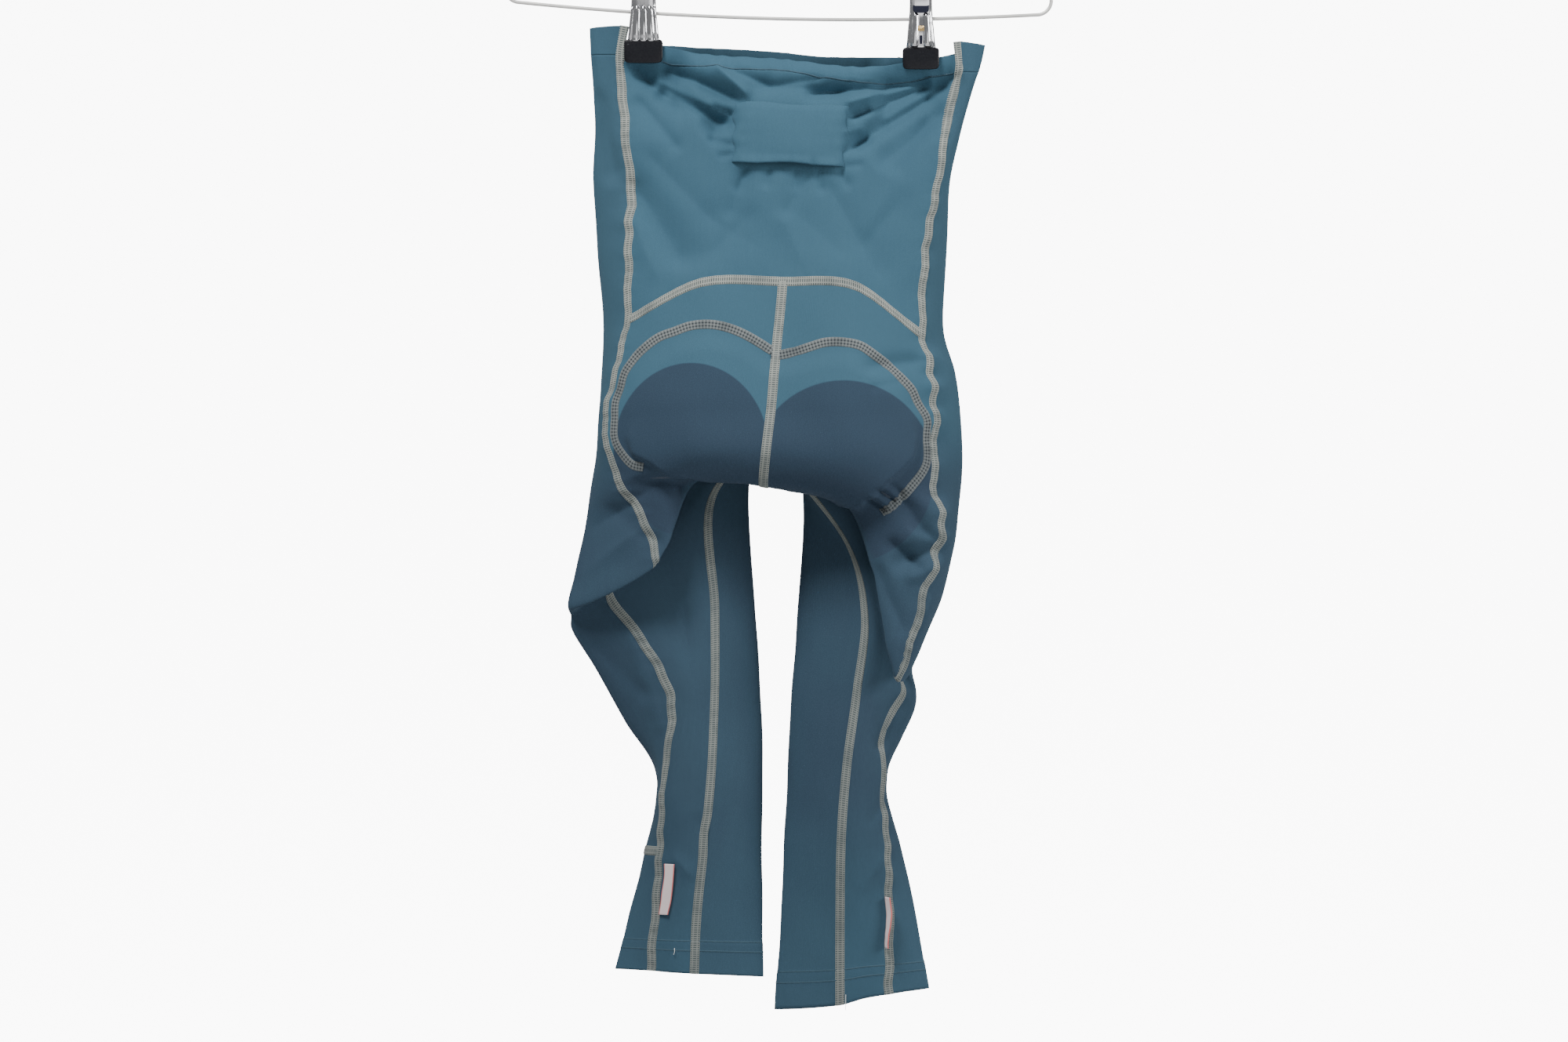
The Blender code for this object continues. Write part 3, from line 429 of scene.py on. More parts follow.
    def surface(self, u: Array, v: Array) -> tuple[Array, Array]:
        """Points of the folded surface, and the outward directions of the surface before folds."""
        u, v = np.broadcast_arrays(np.asarray(u, float), np.asarray(v, float))
        points = self.bare(u, v)
        away = self.facing(self.bare, u, v)
        seen = 1 - smooth(*self.back_edge, np.abs(u))
        points = points + away * (self.folds(points, v, FOLDS) * seen * MM)[..., None]
        drop, kept = -BAR_DROP - points[..., 2] / MM, np.zeros(v.shape)
        for clip in CLIPS:
            beside = (clip.width / 2 + more for more in self.pinch_aside)
            below = (clip.drop + more for more in self.pinch_below)
            near = 1 - smooth(*beside, np.abs(points[..., 0] / MM - clip.across))
            grip = near * (1 - smooth(*below, drop)) * (v < 3)
            flat = np.where(np.abs(u) < 3, -PINCHED_MM, PINCHED_MM) * MM
            points[..., 1] = points[..., 1] * (1 - grip) + flat * grip
            kept = np.maximum(kept, grip * smooth(*self.pinch_folds, drop - clip.drop))
        joined = self.pinch_kept * kept * np.where(np.abs(u) < 3, 1.0, -1.0)
        points = points + away * (self.folds(points, v, FOLDS) * joined * MM)[..., None]
        corner = smooth(1.98, 2.0, np.abs(u)) * (1 - smooth(3.1, 4.2, np.abs(u)))
        points[..., 2] += self.corner_rise * MM * corner * np.clip(1 - v, 0, 1)
        return points, away

    def fine(self, u: Array, v: Array) -> Array:
        """Points of the finished cloth."""
        return self.finished(u, v)[0]

    def finished(self, u: Array, v: Array) -> tuple[Array, Array]:
        """The finished cloth: the surface, lifted by small creases, seam puckers, the hems and a slow wave.

        Args:
            u: how far round, from -7 to 7.
            v: how far down, from 0 to 19.

        Returns:
            Points, and outward directions.
        """
        u, v = np.broadcast_arrays(np.asarray(u, float), np.asarray(v, float))
        points, away = self.surface(u, v)
        x, z = points[..., 0] / MM, points[..., 2] / MM
        size = np.abs(u)
        back = 1 - smooth(*self.back_edge, size)
        front = -smooth(*self.front_edge, size) * (1 - smooth(*self.front_foot, v))
        small = self.folds(points, v, CREASES, self.crease_bell)
        large = self.folds(points, v, FOLDS, self.fold_bell)
        louder = 1.5 - 0.5 * smooth(*self.loud_folds, v)
        height = (self.crease_gain * small + self.fold_gain * large) * (back + front) * louder
        points[..., 0] += self._wander(u, v, z) * MM
        height = height + self._seam_puckers(size, v, z)
        yoke = np.exp(-(((v - self.yoke) / 0.10) ** 2)) * (size < 2.2)
        height = height + 0.25 * yoke * np.sin(x / 1.7 + np.sin(x / 11))
        height = height + self._slow_wave(x, z, v)
        ripple = np.sin(x / 2.6 + 1.2 * np.sin(x / 8)) * (1 - smooth(0.75, 1.3, v))
        height = height + 0.45 * ripple * self._free(points)
        hem = np.where(u < 0, self.above_hem(-1, self.hem_mm), self.above_hem(1, self.hem_mm))
        height = height + self.hem_step_mm * smooth(-0.012, 0.012, v - hem)
        height = height + self._pad_relief(points) * back * (v > self.yoke) * (v < 11)
        return points + away * (height * MM)[..., None], away

    @staticmethod
    def _wander(u: Array, v: Array, z: Array) -> Array:
        """How far the side seams sway, in millimetres: a bell round u = 2, times a sine of z that drifts."""
        near = np.exp(-(((np.abs(u) - 2) / 0.35) ** 2)) * smooth(1.2, 2.2, v)
        twist = 0.7 + 1.0 * (u > 0) * smooth(4.5, 5.5, v) * (1 - smooth(10.0, 11.0, v))
        return near * twist * np.sin(z / 4.6 + 1.4 * np.sin(z / 19))

    @staticmethod
    def _seam_puckers(size: Array, v: Array, z: Array) -> Array:
        """Small puckers beside the side seams, in mm: a narrow bell round u = 2, times a quick sine."""
        near = 0.28 * np.exp(-(((size - 2) / 0.13) ** 2))
        return near * np.sin(z / 1.6 + np.sin(z / 9) * 1.5) * smooth(1, 1.5, v)

    @staticmethod
    def _slow_wave(x: Array, z: Array, v: Array) -> Array:
        """The slow wave of hanging cloth, in mm: three crossed sines, calm at the waist and the fold."""
        wave = np.sin(x / 13 + z / 31) + np.sin(z / 17 - x / 23 + 1.3) + np.sin((x + z) / 9.5 + 0.4)
        return 0.16 * wave * smooth(1, 2.5, v) * (1 - smooth(10.2, 11.0, v) * (1 - smooth(13.2, 14.5, v)))

    @staticmethod
    def _pad_relief(points: Array) -> Array:
        """How far the seat pad lifts the cloth, in mm: a slow rise at its top, a higher step at its foot.

        The distance to the pad's edge is the smallest over its straight runs. A place is inside where a ray
        to the right crosses the edge an odd number of times.
        """
        x, drop = points[..., 0] / MM, -BAR_DROP - points[..., 2] / MM
        places = np.array(PAD_BODY)
        away = np.full(x.shape, -1e3)
        near = (x > -150) & (x < 130) & (drop > 225) & (drop < 400)
        px, pz = x[near], drop[near]
        odd, least = np.zeros(px.shape, bool), np.full(px.shape, 1e9)
        for (ax, az), (bx, bz) in zip(places, np.roll(places, -1, axis=0)):
            run = (bx - ax) ** 2 + (bz - az) ** 2
            t = np.clip(((px - ax) * (bx - ax) + (pz - az) * (bz - az)) / run, 0, 1)
            least = np.minimum(least, np.hypot(px - ax - t * (bx - ax), pz - az - t * (bz - az)))
            crosses = (az > pz) != (bz > pz)
            odd ^= crosses & (px < ax + (pz - az) * (bx - ax) / (bz - az))
        away[near] = np.where(odd, least, -least)
        steep = smooth(300, 336, drop)
        inset, slope_mm, rise = 5 * (1 - steep), 9 - 6.5 * steep, 2.6 + 2.4 * steep
        return rise * smooth(-1.0, 1.0, (away - inset) / slope_mm)

    @staticmethod
    def _free(points: Array) -> Array:
        """1 where the waist hangs free of the clips, 0 inside them."""
        free = np.ones(points.shape[:-1])
        for clip in CLIPS:
            aside = np.abs(points[..., 0] / MM - clip.across)
            free = free * smooth(clip.width / 2, clip.width / 2 + 14, aside)
        return free

    def above_hem(self, sign: int, up_mm: float) -> float:
        """The v that lies some millimetres above the hem, on the middle of the back."""
        v = np.linspace(self.last - 1, self.last, 60)
        z = self.bare(np.full(60, 1.0 * sign), v)[:, 2] / MM
        return float(np.interp(z[-1] + up_mm, z[::-1], v[::-1]))

    def wall(self, v: Array, plain: float) -> Array:
        """The wall in millimetres, thicker in the turned hem."""
        return plain + self.hem_wall_mm * smooth(self.last - 0.40, self.last - 0.36, v)

    @staticmethod
    def spread(stops: Sequence[float], counts: Sequence[int]) -> Array:
        """Values along a run of stops, with a number of steps in each stretch."""
        parts = [np.linspace(a, b, n, endpoint=False) for a, b, n in zip(stops, stops[1:], counts)]
        return np.concatenate([*parts, [float(stops[-1])]])

    def row_values(self, first: float, last: float, per_section: int) -> Array:
        """Even values of v from first to last, with more of them at the crease above the crotch."""
        rows = np.linspace(first, last, max(4, int(round((last - first) * per_section))) + 1)
        extra = np.linspace(CROTCH - 0.3, CROTCH + 0.3, 13) + 0.003
        return np.sort(np.append(rows, extra[(extra > first) & (extra < last)]))

    def find(self, across: Array, drop: Array, u: Array, v: Array) -> tuple[Array, Array]:
        """The u and v of places given by across and drop, by Newton's steps from a first guess."""
        goal = np.stack([across * MM, -BAR_DROP * MM - drop * MM], axis=-1)
        small = 0.01
        for _ in range(14):
            here = self.cloth(u, v)[..., [0, 2]]
            by_u = (self.cloth(u + small, v)[..., [0, 2]] - here) / small
            by_v = (self.cloth(u, v + small)[..., [0, 2]] - here) / small
            miss = goal - here
            area = by_u[..., 0] * by_v[..., 1] - by_u[..., 1] * by_v[..., 0]
            u = u + np.clip((miss[..., 0] * by_v[..., 1] - miss[..., 1] * by_v[..., 0]) / area, -0.3, 0.3)
            v = v + np.clip((by_u[..., 0] * miss[..., 1] - by_u[..., 1] * miss[..., 0]) / area, -0.3, 0.3)
        return u, v

    def smooth_path(self, places: Array, count: int) -> tuple[Array, Array]:
        """Even values along a smooth curve through places (across, drop)."""
        step, start, end = self._slopes(places)
        t = np.linspace(0, len(places) - 1, count)
        k = np.clip(np.floor(t).astype(int), 0, len(places) - 2)
        share = (t - k)[:, None]
        made = self._hermite(places[k], places[k + 1], start[k], end[k], step[k], share)
        return made[:, 0], made[:, 1]


# Finishes
class Number:
    """A shader socket that carries a number and takes part in sums and products."""

    def __init__(self, shader: "Shader", socket: Socket) -> None:
        """Keep the socket and the shader it belongs to."""
        self.shader, self.socket = shader, socket

    def __add__(self, other: "Number | float") -> "Number":
        """Sum."""
        return self.shader.math("ADD", self, other)

    __radd__ = __add__

    def __sub__(self, other: "Number | float") -> "Number":
        """Difference."""
        return self.shader.math("SUBTRACT", self, other)

    def __rsub__(self, other: float) -> "Number":
        """Difference with the number first."""
        return self.shader.math("SUBTRACT", other, self)

    def __mul__(self, other: "Number | float") -> "Number":
        """Product."""
        return self.shader.math("MULTIPLY", self, other)

    __rmul__ = __mul__

    def __truediv__(self, other: "Number | float") -> "Number":
        """Quotient."""
        return self.shader.math("DIVIDE", self, other)

    def __pow__(self, other: float) -> "Number":
        """Power."""
        return self.shader.math("POWER", self, other)


class Shader:
    """A material's node tree, built by short calls."""

    def __init__(self, name: str) -> None:
        """Start a Principled material.

        Args:
            name: the material's name.
        """
        self.material = bpy.data.materials.new(name)
        self.material.use_nodes = True
        self.tree = self.material.node_tree
        self.surface = self.tree.nodes["Principled BSDF"]

    def node(self, kind: str, settings: dict | None = None, inputs: dict | None = None) -> bpy.types.Node:
        """Add a node.

        Args:
            kind: the node's type.
            settings: properties, set first. A key "stops" fills a colour ramp with (position, colour) pairs.
            inputs: values or links by socket name or number.

        Returns:
            The node.
        """
        made = self.tree.nodes.new(kind)
        for key, value in (settings or {}).items():
            if key == "stops":
                ramp = made.color_ramp
                while len(ramp.elements) < len(value):
                    ramp.elements.new(0.5)
                for element, (position, colour) in zip(ramp.elements, value):
                    element.position = position
                    element.color = (*colour, 1)
            else:
                setattr(made, key, value)
        for key, value in (inputs or {}).items():
            self.feed(made.inputs[key], value)
        return made

    def feed(self, socket: Socket, value: object) -> None:
        """Set a socket to a value, or link it."""
        if isinstance(value, Number):
            value = value.socket
        if isinstance(value, Socket):
            self.tree.links.new(value, socket)
        elif isinstance(value, (tuple, list)) and len(value) == 3 and socket.type == "RGBA":
            socket.default_value = (*value, 1)
        else:
            socket.default_value = value

    def math(self, operation: str, *values: "Number | float") -> Number:
        """Add a Math node and return its result."""
        made = self.node("ShaderNodeMath", {"operation": operation}, dict(enumerate(values)))
        return Number(self, made.outputs[0])

    def ramp(self, value: Number, low: float, high: float) -> Number:
        """0 below low, 1 above high, smooth between."""
        made = self.node(
            "ShaderNodeMapRange",
            {"interpolation_type": "SMOOTHSTEP"},
            {"Value": value, "From Min": low, "From Max": high},
        )
        return Number(self, made.outputs["Result"])

    def place(self) -> tuple[Socket, Number, Number, Number]:
        """The Object coordinates, as a vector and as X, Y and Z."""
        vector = self.node("ShaderNodeTexCoord").outputs["Object"]
        parts = self.node("ShaderNodeSeparateXYZ", inputs={0: vector}).outputs
        return vector, Number(self, parts[0]), Number(self, parts[1]), Number(self, parts[2])

    def laid(self) -> tuple[Socket, Number, Number]:
        """The piece's own UV, in metres of cloth: the vector, across and along."""
        vector = self.node("ShaderNodeUVMap", {"uv_map": "cloth"}).outputs["UV"]
        parts = self.node("ShaderNodeSeparateXYZ", inputs={0: vector}).outputs
        return vector, Number(self, parts[0]), Number(self, parts[1])

    def sections(self) -> Number:
        """How far down the tights a point lies, in sections from the waist, from the piece's second UV."""
        vector = self.node("ShaderNodeUVMap", {"uv_map": "lines"}).outputs["UV"]
        return Number(self, self.node("ShaderNodeSeparateXYZ", inputs={0: vector}).outputs[1])

    def noise(
        self, vector: Socket, scale: float, detail: float = 2.0, stretch: tuple | None = None
    ) -> Number:
        """A cloudy number from 0 to 1."""
        if stretch:
            vector = self.node("ShaderNodeMapping", inputs={"Vector": vector, "Scale": stretch}).outputs[0]
        made = self.node("ShaderNodeTexNoise", inputs={"Vector": vector, "Scale": scale, "Detail": detail})
        return Number(self, made.outputs["Fac"])

    def mix(self, share: Number | float, first: object, second: object) -> Socket:
        """A colour between two colours."""
        made = self.node("ShaderNodeMix", {"data_type": "RGBA"})
        self.feed(made.inputs[0], share)
        self.feed(made.inputs[6], first)
        self.feed(made.inputs[7], second)
        return made.outputs[2]

    def bump(self, height: Number, distance: float, strength: float = 1.0) -> None:
        """Feed the Normal from a height in units of the distance."""
        values = {"Height": height, "Distance": distance, "Strength": strength}
        made = self.node("ShaderNodeBump", inputs=values)
        self.feed(self.surface.inputs["Normal"], made.outputs[0])

    def set(self, **values: object) -> None:
        """Set or link sockets of the Principled shader, with _ for a space in a name."""
        for key, value in values.items():
            self.feed(self.surface.inputs[key.replace("_", " ")], value)


@dataclass(frozen=True)
class Knit:
    """Fine stretch knit with a soft surface."""

    name: str
    colour: tuple
    deep: tuple
    wale_mm: float = 0.75
    course_mm: float = 0.62
    roughness: float = 0.78
    # upper, change, seat_fade and hem_fade darken the knit down the tights: partly its own navy, partly
    # painted shade.
    upper: tuple | None = None
    change: tuple = (9.7, 10.7)
    seat_fade: tuple = (-0.528, -0.560)
    hem_fade: tuple = (-0.76, -0.94)
    discs: bool = False

    def build(self) -> Material:
        """Make the material: two blues clouded together, faint wales and courses, and soft sheen.

        Returns:
            The material.
        """
        shader = Shader(self.name)
        vector, x, _, z = shader.place()
        laid, across, along = shader.laid()
        clouds = shader.ramp(shader.noise(vector, 9.0, 3.0), 0.3, 0.7)
        streaks = shader.noise(laid, 260.0, 2.0, (1.0, 0.12, 1.0))
        colour = shader.mix(clouds * 0.5 + streaks * 0.25, self.colour, self.deep)
        # Painted shade in part: from the upper colour the knit turns darker down the seat and legs, partly
        # its own navy and partly painted shade, and lighter again towards the hems.
        if self.upper:
            section = shader.sections()
            below = shader.ramp(section, *self.change)
            if self.discs:
                below = shader.math("MAXIMUM", below, shader.ramp(z, *self.seat_fade))
            below = below * (1 - shader.ramp(z, *self.hem_fade) * 0.55)
            colour = shader.mix(1 - below, colour, self.upper)
            if self.discs:
                colour = self._discs(shader, x, z, section, colour)
        fleck = shader.ramp(shader.noise(laid, 1900.0, 1.0), 0.42, 0.75)
        colour = shader.mix(fleck * 0.16, colour, tuple(min(1.0, c * 1.7 + 0.02) for c in self.colour))
        wale = shader.math("SINE", across * (2000 * math.pi / self.wale_mm))
        course = shader.math("SINE", along * (2000 * math.pi / self.course_mm) + wale * 1.4)
        shader.set(Base_Color=colour, Roughness=self.roughness + streaks * 0.1)
        shader.set(Sheen_Weight=0.05, Sheen_Roughness=0.4, Specular_IOR_Level=0.16)
        shader.surface.inputs["Sheen Tint"].default_value = (0.62, 0.80, 0.92, 1)
        shader.bump(wale * 0.5 + course * 0.5 + streaks * 1.2, 0.00006, 0.7)
        return shader.material

    def _discs(
        self, shader: Shader, x: Number, z: Number, section: Number, colour: Socket
    ) -> Socket:
        """Darken two round areas over the pad's thick parts: ellipses on x and z, down to the fold."""
        share: Number | float = 0.0
        for disc in DISCS:
            out = ((x - disc.x) / disc.wide) ** 2.0 + ((z - disc.z) / disc.high) ** 2.0
            share = shader.math("MAXIMUM", share, 1 - shader.ramp(out, 0.975, 1.02))
        share = share * (1 - shader.ramp(section, 10.4, 10.8))
        return shader.mix(share * 0.9, colour, self.deep)


class Disc(NamedTuple):
    """A round darker area of the seat, in metres."""

    x: float
    z: float
    wide: float
    high: float


DISCS = (Disc(-0.0705, -0.5306, 0.059, 0.066), Disc(0.0450, -0.5474, 0.0696, 0.0696))


# The length of one rung of a ladder, one crossing of the braid and one stitch of a needle line.
LADDER_MM, BRAID_MM, NEEDLE_MM = 1.7, 5.0, 2.6
# Where a ladder's two rails lie across its half width, and how far a braid's threads slant over it.
LADDER_RAIL = 0.47
BRAID_SLANT = 4.6


class ThreadLook(Enum):
    """How a line of cover stitching is coloured."""

    LADDER = "ladder"
    BRAID = "braid"


@dataclass(frozen=True)
class Thread:
    """Cover stitching: light threads with the darker cloth between them."""

    name: str
    light: tuple
    dark: tuple
    look: ThreadLook
    pitch_mm: float

    def build(self) -> Material:
        """Make the material from its own UV: across from -1 to 1, along in metres.

        Returns:
            The material.
        """
        shader = Shader(self.name)
        _, across, along = shader.laid()
        vector, _, _, z = shader.place()
        turns, size = along * (2000 * math.pi / self.pitch_mm), shader.math("ABSOLUTE", across)
        if self.look is ThreadLook.LADDER:
            rung = shader.math("SINE", turns) * 0.5 + 0.5
            rails = shader.ramp(shader.math("ABSOLUTE", size - LADDER_RAIL), 0.06, 0.16)
            gap = (1 - rung) ** 1.1 * shader.ramp(size, 0.98, 0.86)
            share = gap * 0.95 * rails + (1 - rails) * 0.12
        else:
            slant = across * BRAID_SLANT
            woven = shader.math("SINE", turns + slant) * shader.math("SINE", turns - slant)
            share = (0.5 - woven * 0.5) ** 1.3 * shader.ramp(size, 0.99, 0.82)
        wear = shader.noise(vector, 60.0, 3.0)
        colour = shader.mix(share, self.light, self.dark)
        colour = shader.mix(shader.ramp(wear, 0.4, 0.75) * 0.42, colour, self.dark)
        # Painted shade: the stitching turns darker towards the bottom, where the lower legs lie in shade.
        low = 1 - shader.ramp(z, -0.66, -0.42)
        colour = shader.mix(low * 0.42, colour, self.dark)
        shader.set(Base_Color=colour, Roughness=0.85, Sheen_Weight=0.12, Specular_IOR_Level=0.25)
        shader.bump(1 - share, 0.0002, 0.6)
        return shader.material


@dataclass(frozen=True)
class Metal:
    """Bright plated steel with faint rubbing marks."""

    name: str
    colour: tuple = (0.80, 0.80, 0.82)
    roughness: float = 0.09
    metallic: float = 1.0

    def build(self) -> Material:
        """Make the material.

        Returns:
            The material.
        """
        shader = Shader(self.name)
        vector = shader.place()[0]
        rub = shader.noise(vector, 420.0, 3.0, (1.0, 1.0, 0.08))
        haze = shader.ramp(shader.noise(vector, 55.0, 2.0), 0.45, 0.75)
        shader.set(Base_Color=shader.mix(haze * 0.25, self.colour, tuple(c * 0.72 for c in self.colour)))
        shader.set(Metallic=self.metallic, Roughness=self.roughness + rub * 0.08 + haze * 0.10)
        return shader.material


@dataclass(frozen=True)
class Vinyl:
    """Dark dipped vinyl with scuffs in the middle."""

    name: str
    colour: tuple = (0.004, 0.004, 0.007)

    def build(self) -> Material:
        """Make the material: near black, with pale scuffs where noise is highest.

        Returns:
            The material.
        """
        shader = Shader(self.name)
        vector = shader.place()[0]
        scuff = shader.ramp(shader.noise(vector, 330.0, 4.0), 0.70, 0.78)
        dust = shader.noise(vector, 900.0, 2.0)
        colour = shader.mix(scuff * 0.5 + dust * 0.03, self.colour, (0.30, 0.32, 0.34))
        shader.set(Base_Color=colour, Roughness=0.30 + dust * 0.16 + scuff * 0.3, Specular_IOR_Level=0.28)
        shader.bump(shader.noise(vector, 240.0, 3.0), 0.0002, 0.35)
        return shader.material


@dataclass(frozen=True)
class Ribbon:
    """Woven ribbon, pinkish white with a red selvedge on its edges."""

    name: str
    field: tuple = (0.78, 0.66, 0.66)
    edge: tuple = (0.62, 0.06, 0.05)

    def build(self) -> Material:
        """Make the material from the ribbon's UV: red where across is near its edges or an end.

        Returns:
            The material.
        """
        shader = Shader(self.name)
        _, across, along = shader.laid()
        rim = shader.ramp(shader.math("ABSOLUTE", across), 0.80, 0.90)
        weave = shader.math("SINE", along * 15000.0) * shader.math("SINE", across * 40.0)
        colour = shader.mix(rim * 0.85, self.field, self.edge)
        shader.set(Base_Color=colour, Roughness=0.6, Sheen_Weight=0.15)
        shader.bump(weave, 0.00005, 0.5)
        return shader.material


@dataclass(frozen=True)
class Plain:
    """A plain matt surface with slight cloudiness."""

    name: str
    colour: tuple
    roughness: float = 0.9
    glow: float = 0.0

    def build(self) -> Material:
        """Make the material.

        Returns:
            The material.
        """
        shader = Shader(self.name)
        cloud = shader.noise(shader.place()[0], 3.0, 2.0)
        shader.set(Base_Color=shader.mix(cloud * 0.1, self.colour, tuple(c * 0.94 for c in self.colour)))
        shader.set(Roughness=self.roughness)
        if self.glow:
            shader.set(Emission_Color=(1.0, 1.0, 1.0), Emission_Strength=self.glow)
        return shader.material


class Finishes:
    """Every finish, made once."""

    def __init__(self) -> None:
        """Build the materials."""
        # dim_teal is teal dimmed as painted shade on the side and front panels; navy, the seat and leg
        # colour, is partly the knit's own colour and partly painted shade.
        teal, deep_teal, dim_teal = (0.052, 0.128, 0.184), (0.042, 0.106, 0.158), (0.046, 0.106, 0.152)
        navy, deep_navy = (0.038, 0.076, 0.112), (0.032, 0.052, 0.084)
        pale, pale_gap = (0.40, 0.42, 0.38), (0.045, 0.065, 0.075)
        grey, grey_gap = (0.24, 0.262, 0.262), (0.012, 0.020, 0.028)
        blue, blue_gap = (0.060, 0.125, 0.172), (0.034, 0.074, 0.104)
        self.upper = Knit("upper_knit", teal, deep_teal).build()
        self.seat = Knit("seat_knit", navy, deep_navy, upper=teal, discs=True).build()
        self.leg = Knit("leg_knit", navy, deep_navy, upper=dim_teal, change=(6.6, 8.2)).build()
        self.ladder = Thread("ladder_stitch", pale, pale_gap, ThreadLook.LADDER, LADDER_MM).build()
        self.braid = Thread("braid_stitch", grey, grey_gap, ThreadLook.BRAID, BRAID_MM).build()
        self.line = Thread("needle_line", blue, blue_gap, ThreadLook.BRAID, NEEDLE_MM).build()
        # Painted shade: a near-black inlay stands in for the shade inside the clip's openings.
        self.shade = Vinyl("painted_opening_shade", (0.010, 0.012, 0.028)).build()
        self.chrome = Metal("chrome_plate").build()
        self.wire = Metal("wire_plate", (0.86, 0.85, 0.82), 0.4, 0.4).build()
        self.spring = Metal("brass_spring", (0.72, 0.52, 0.25), 0.25).build()
        self.vinyl = Vinyl("dipped_vinyl").build()
        self.ribbon = Ribbon("side_ribbon").build()
        self.foam = Plain("pad_foam", (0.05, 0.07, 0.10)).build()
        self.cotton = Plain("loose_thread", (0.72, 0.76, 0.74), 0.7).build()


# Meshes
def put(
    name: str,
    points: Array,
    faces: Array,
    finish: Material,
    uv: Array | None = None,
    lines: Array | None = None,
) -> Piece:
    """Put a mesh in the scene, smooth, with its own UV map in metres.

    Args:
        name: the piece's name.
        points: points, (n, 3).
        faces: corner numbers, (m, 3) or (m, 4).
        finish: the material.
        uv: one place for each point, (n, 2).
        lines: the u and v of each point on the cloth surface, (n, 2).

    Returns:
        The object.
    """
    mesh = bpy.data.meshes.new(name)
    count, corners = faces.shape
    mesh.vertices.add(len(points))
    mesh.vertices.foreach_set("co", np.ascontiguousarray(points, dtype=np.float32).ravel())
    mesh.loops.add(count * corners)
    mesh.loops.foreach_set("vertex_index", np.ascontiguousarray(faces, dtype=np.int32).ravel())
    mesh.polygons.add(count)
    mesh.polygons.foreach_set("loop_start", np.arange(0, count * corners, corners, dtype=np.int32))
    mesh.update(calc_edges=True)
    for title, places in (("cloth", uv), ("lines", lines)):
        if places is not None:
            layer = mesh.uv_layers.new(name=title)
            corner_places = np.ascontiguousarray(places[faces.ravel()], dtype=np.float32)
            layer.uv.foreach_set("vector", corner_places.ravel())
    mesh.shade_smooth()
    mesh.materials.append(finish)
    made = bpy.data.objects.new(name, mesh)
    bpy.context.scene.collection.objects.link(made)
    return made


def slab_faces(rows: int, columns: int) -> Array:
    """Corner numbers of a closed slab between two grids: the outer grid, the inner one, and the rim."""
    grid = np.arange(rows * columns).reshape(rows, columns)
    outer = np.stack([grid[:-1, :-1], grid[:-1, 1:], grid[1:, 1:], grid[1:, :-1]], axis=-1).reshape(-1, 4)
    inner = outer[:, ::-1] + rows * columns
    ring = np.concatenate([grid[0, :], grid[1:, -1], grid[-1, -2::-1], grid[-2:0:-1, 0]])
    following = np.roll(ring, -1)
    low = rows * columns
    rim = np.stack([following, ring, ring + low, following + low], axis=1)
    return np.concatenate([outer, inner, rim])


def run_lengths(points: Array) -> Array:
    """UV in metres of a grid: distance along its middle row, and down its middle column."""
    rows, columns = points.shape[:2]
    round_it = np.linalg.norm(np.diff(points, axis=1), axis=-1).mean(axis=0)
    down_it = np.linalg.norm(np.diff(points, axis=0), axis=-1).mean(axis=1)
    across = np.concatenate([[0], np.cumsum(round_it)])
    along = np.concatenate([[0], np.cumsum(down_it)])
    return np.stack(np.broadcast_arrays(across[None, :], along[:, None]), axis=-1).reshape(rows, columns, 2)


def slab(
    name: str,
    outer: Array,
    inner: Array,
    finish: Material,
    uv: Array | None = None,
    lines: Array | None = None,
) -> Piece:
    """A closed slab between an outer and an inner grid of points.

    Args:
        name: the piece's name.
        outer: (rows, columns, 3).
        inner: the same shape, behind the outer grid.
        finish: the material.
        uv: (rows, columns, 2), or lengths along the cloth if left out.
        lines: the u and v of the cloth surface, (rows, columns, 2).

    Returns:
        The object, with faces turned outwards.
    """
    rows, columns = outer.shape[:2]
    faces = slab_faces(rows, columns)
    points = np.concatenate([outer.reshape(-1, 3), inner.reshape(-1, 3)])
    uv = run_lengths(outer) if uv is None else uv
    places = np.concatenate([uv.reshape(-1, 2)] * 2)
    row, column = rows // 2, columns // 2
    here = outer[row, column]
    aside, above = outer[row, column - 1] - here, outer[row - 1, column] - here
    if np.cross(aside, above) @ (here - inner[row, column]) > 0:
        faces = faces[:, ::-1]
    both = None if lines is None else np.concatenate([lines.reshape(-1, 2)] * 2)
    return put(name, points, faces, finish, places, both)


def ring_faces(rows: int, columns: int) -> Array:
    """Triangles of a grid that runs round on its second axis, with a cap on one more point at each end."""
    order = np.arange(rows * columns).reshape(rows, columns)
    turned = np.roll(order, -1, axis=1)
    walls = np.stack([order[:-1], turned[:-1], turned[1:], order[1:]], axis=-1).reshape(-1, 4)
    first, last = np.full(columns, rows * columns), np.full(columns, rows * columns + 1)
    caps = np.stack([first, turned[0], order[0]], axis=1), np.stack([last, order[-1], turned[-1]], axis=1)
    return np.concatenate([walls[:, [0, 1, 2]], walls[:, [0, 2, 3]], *caps])


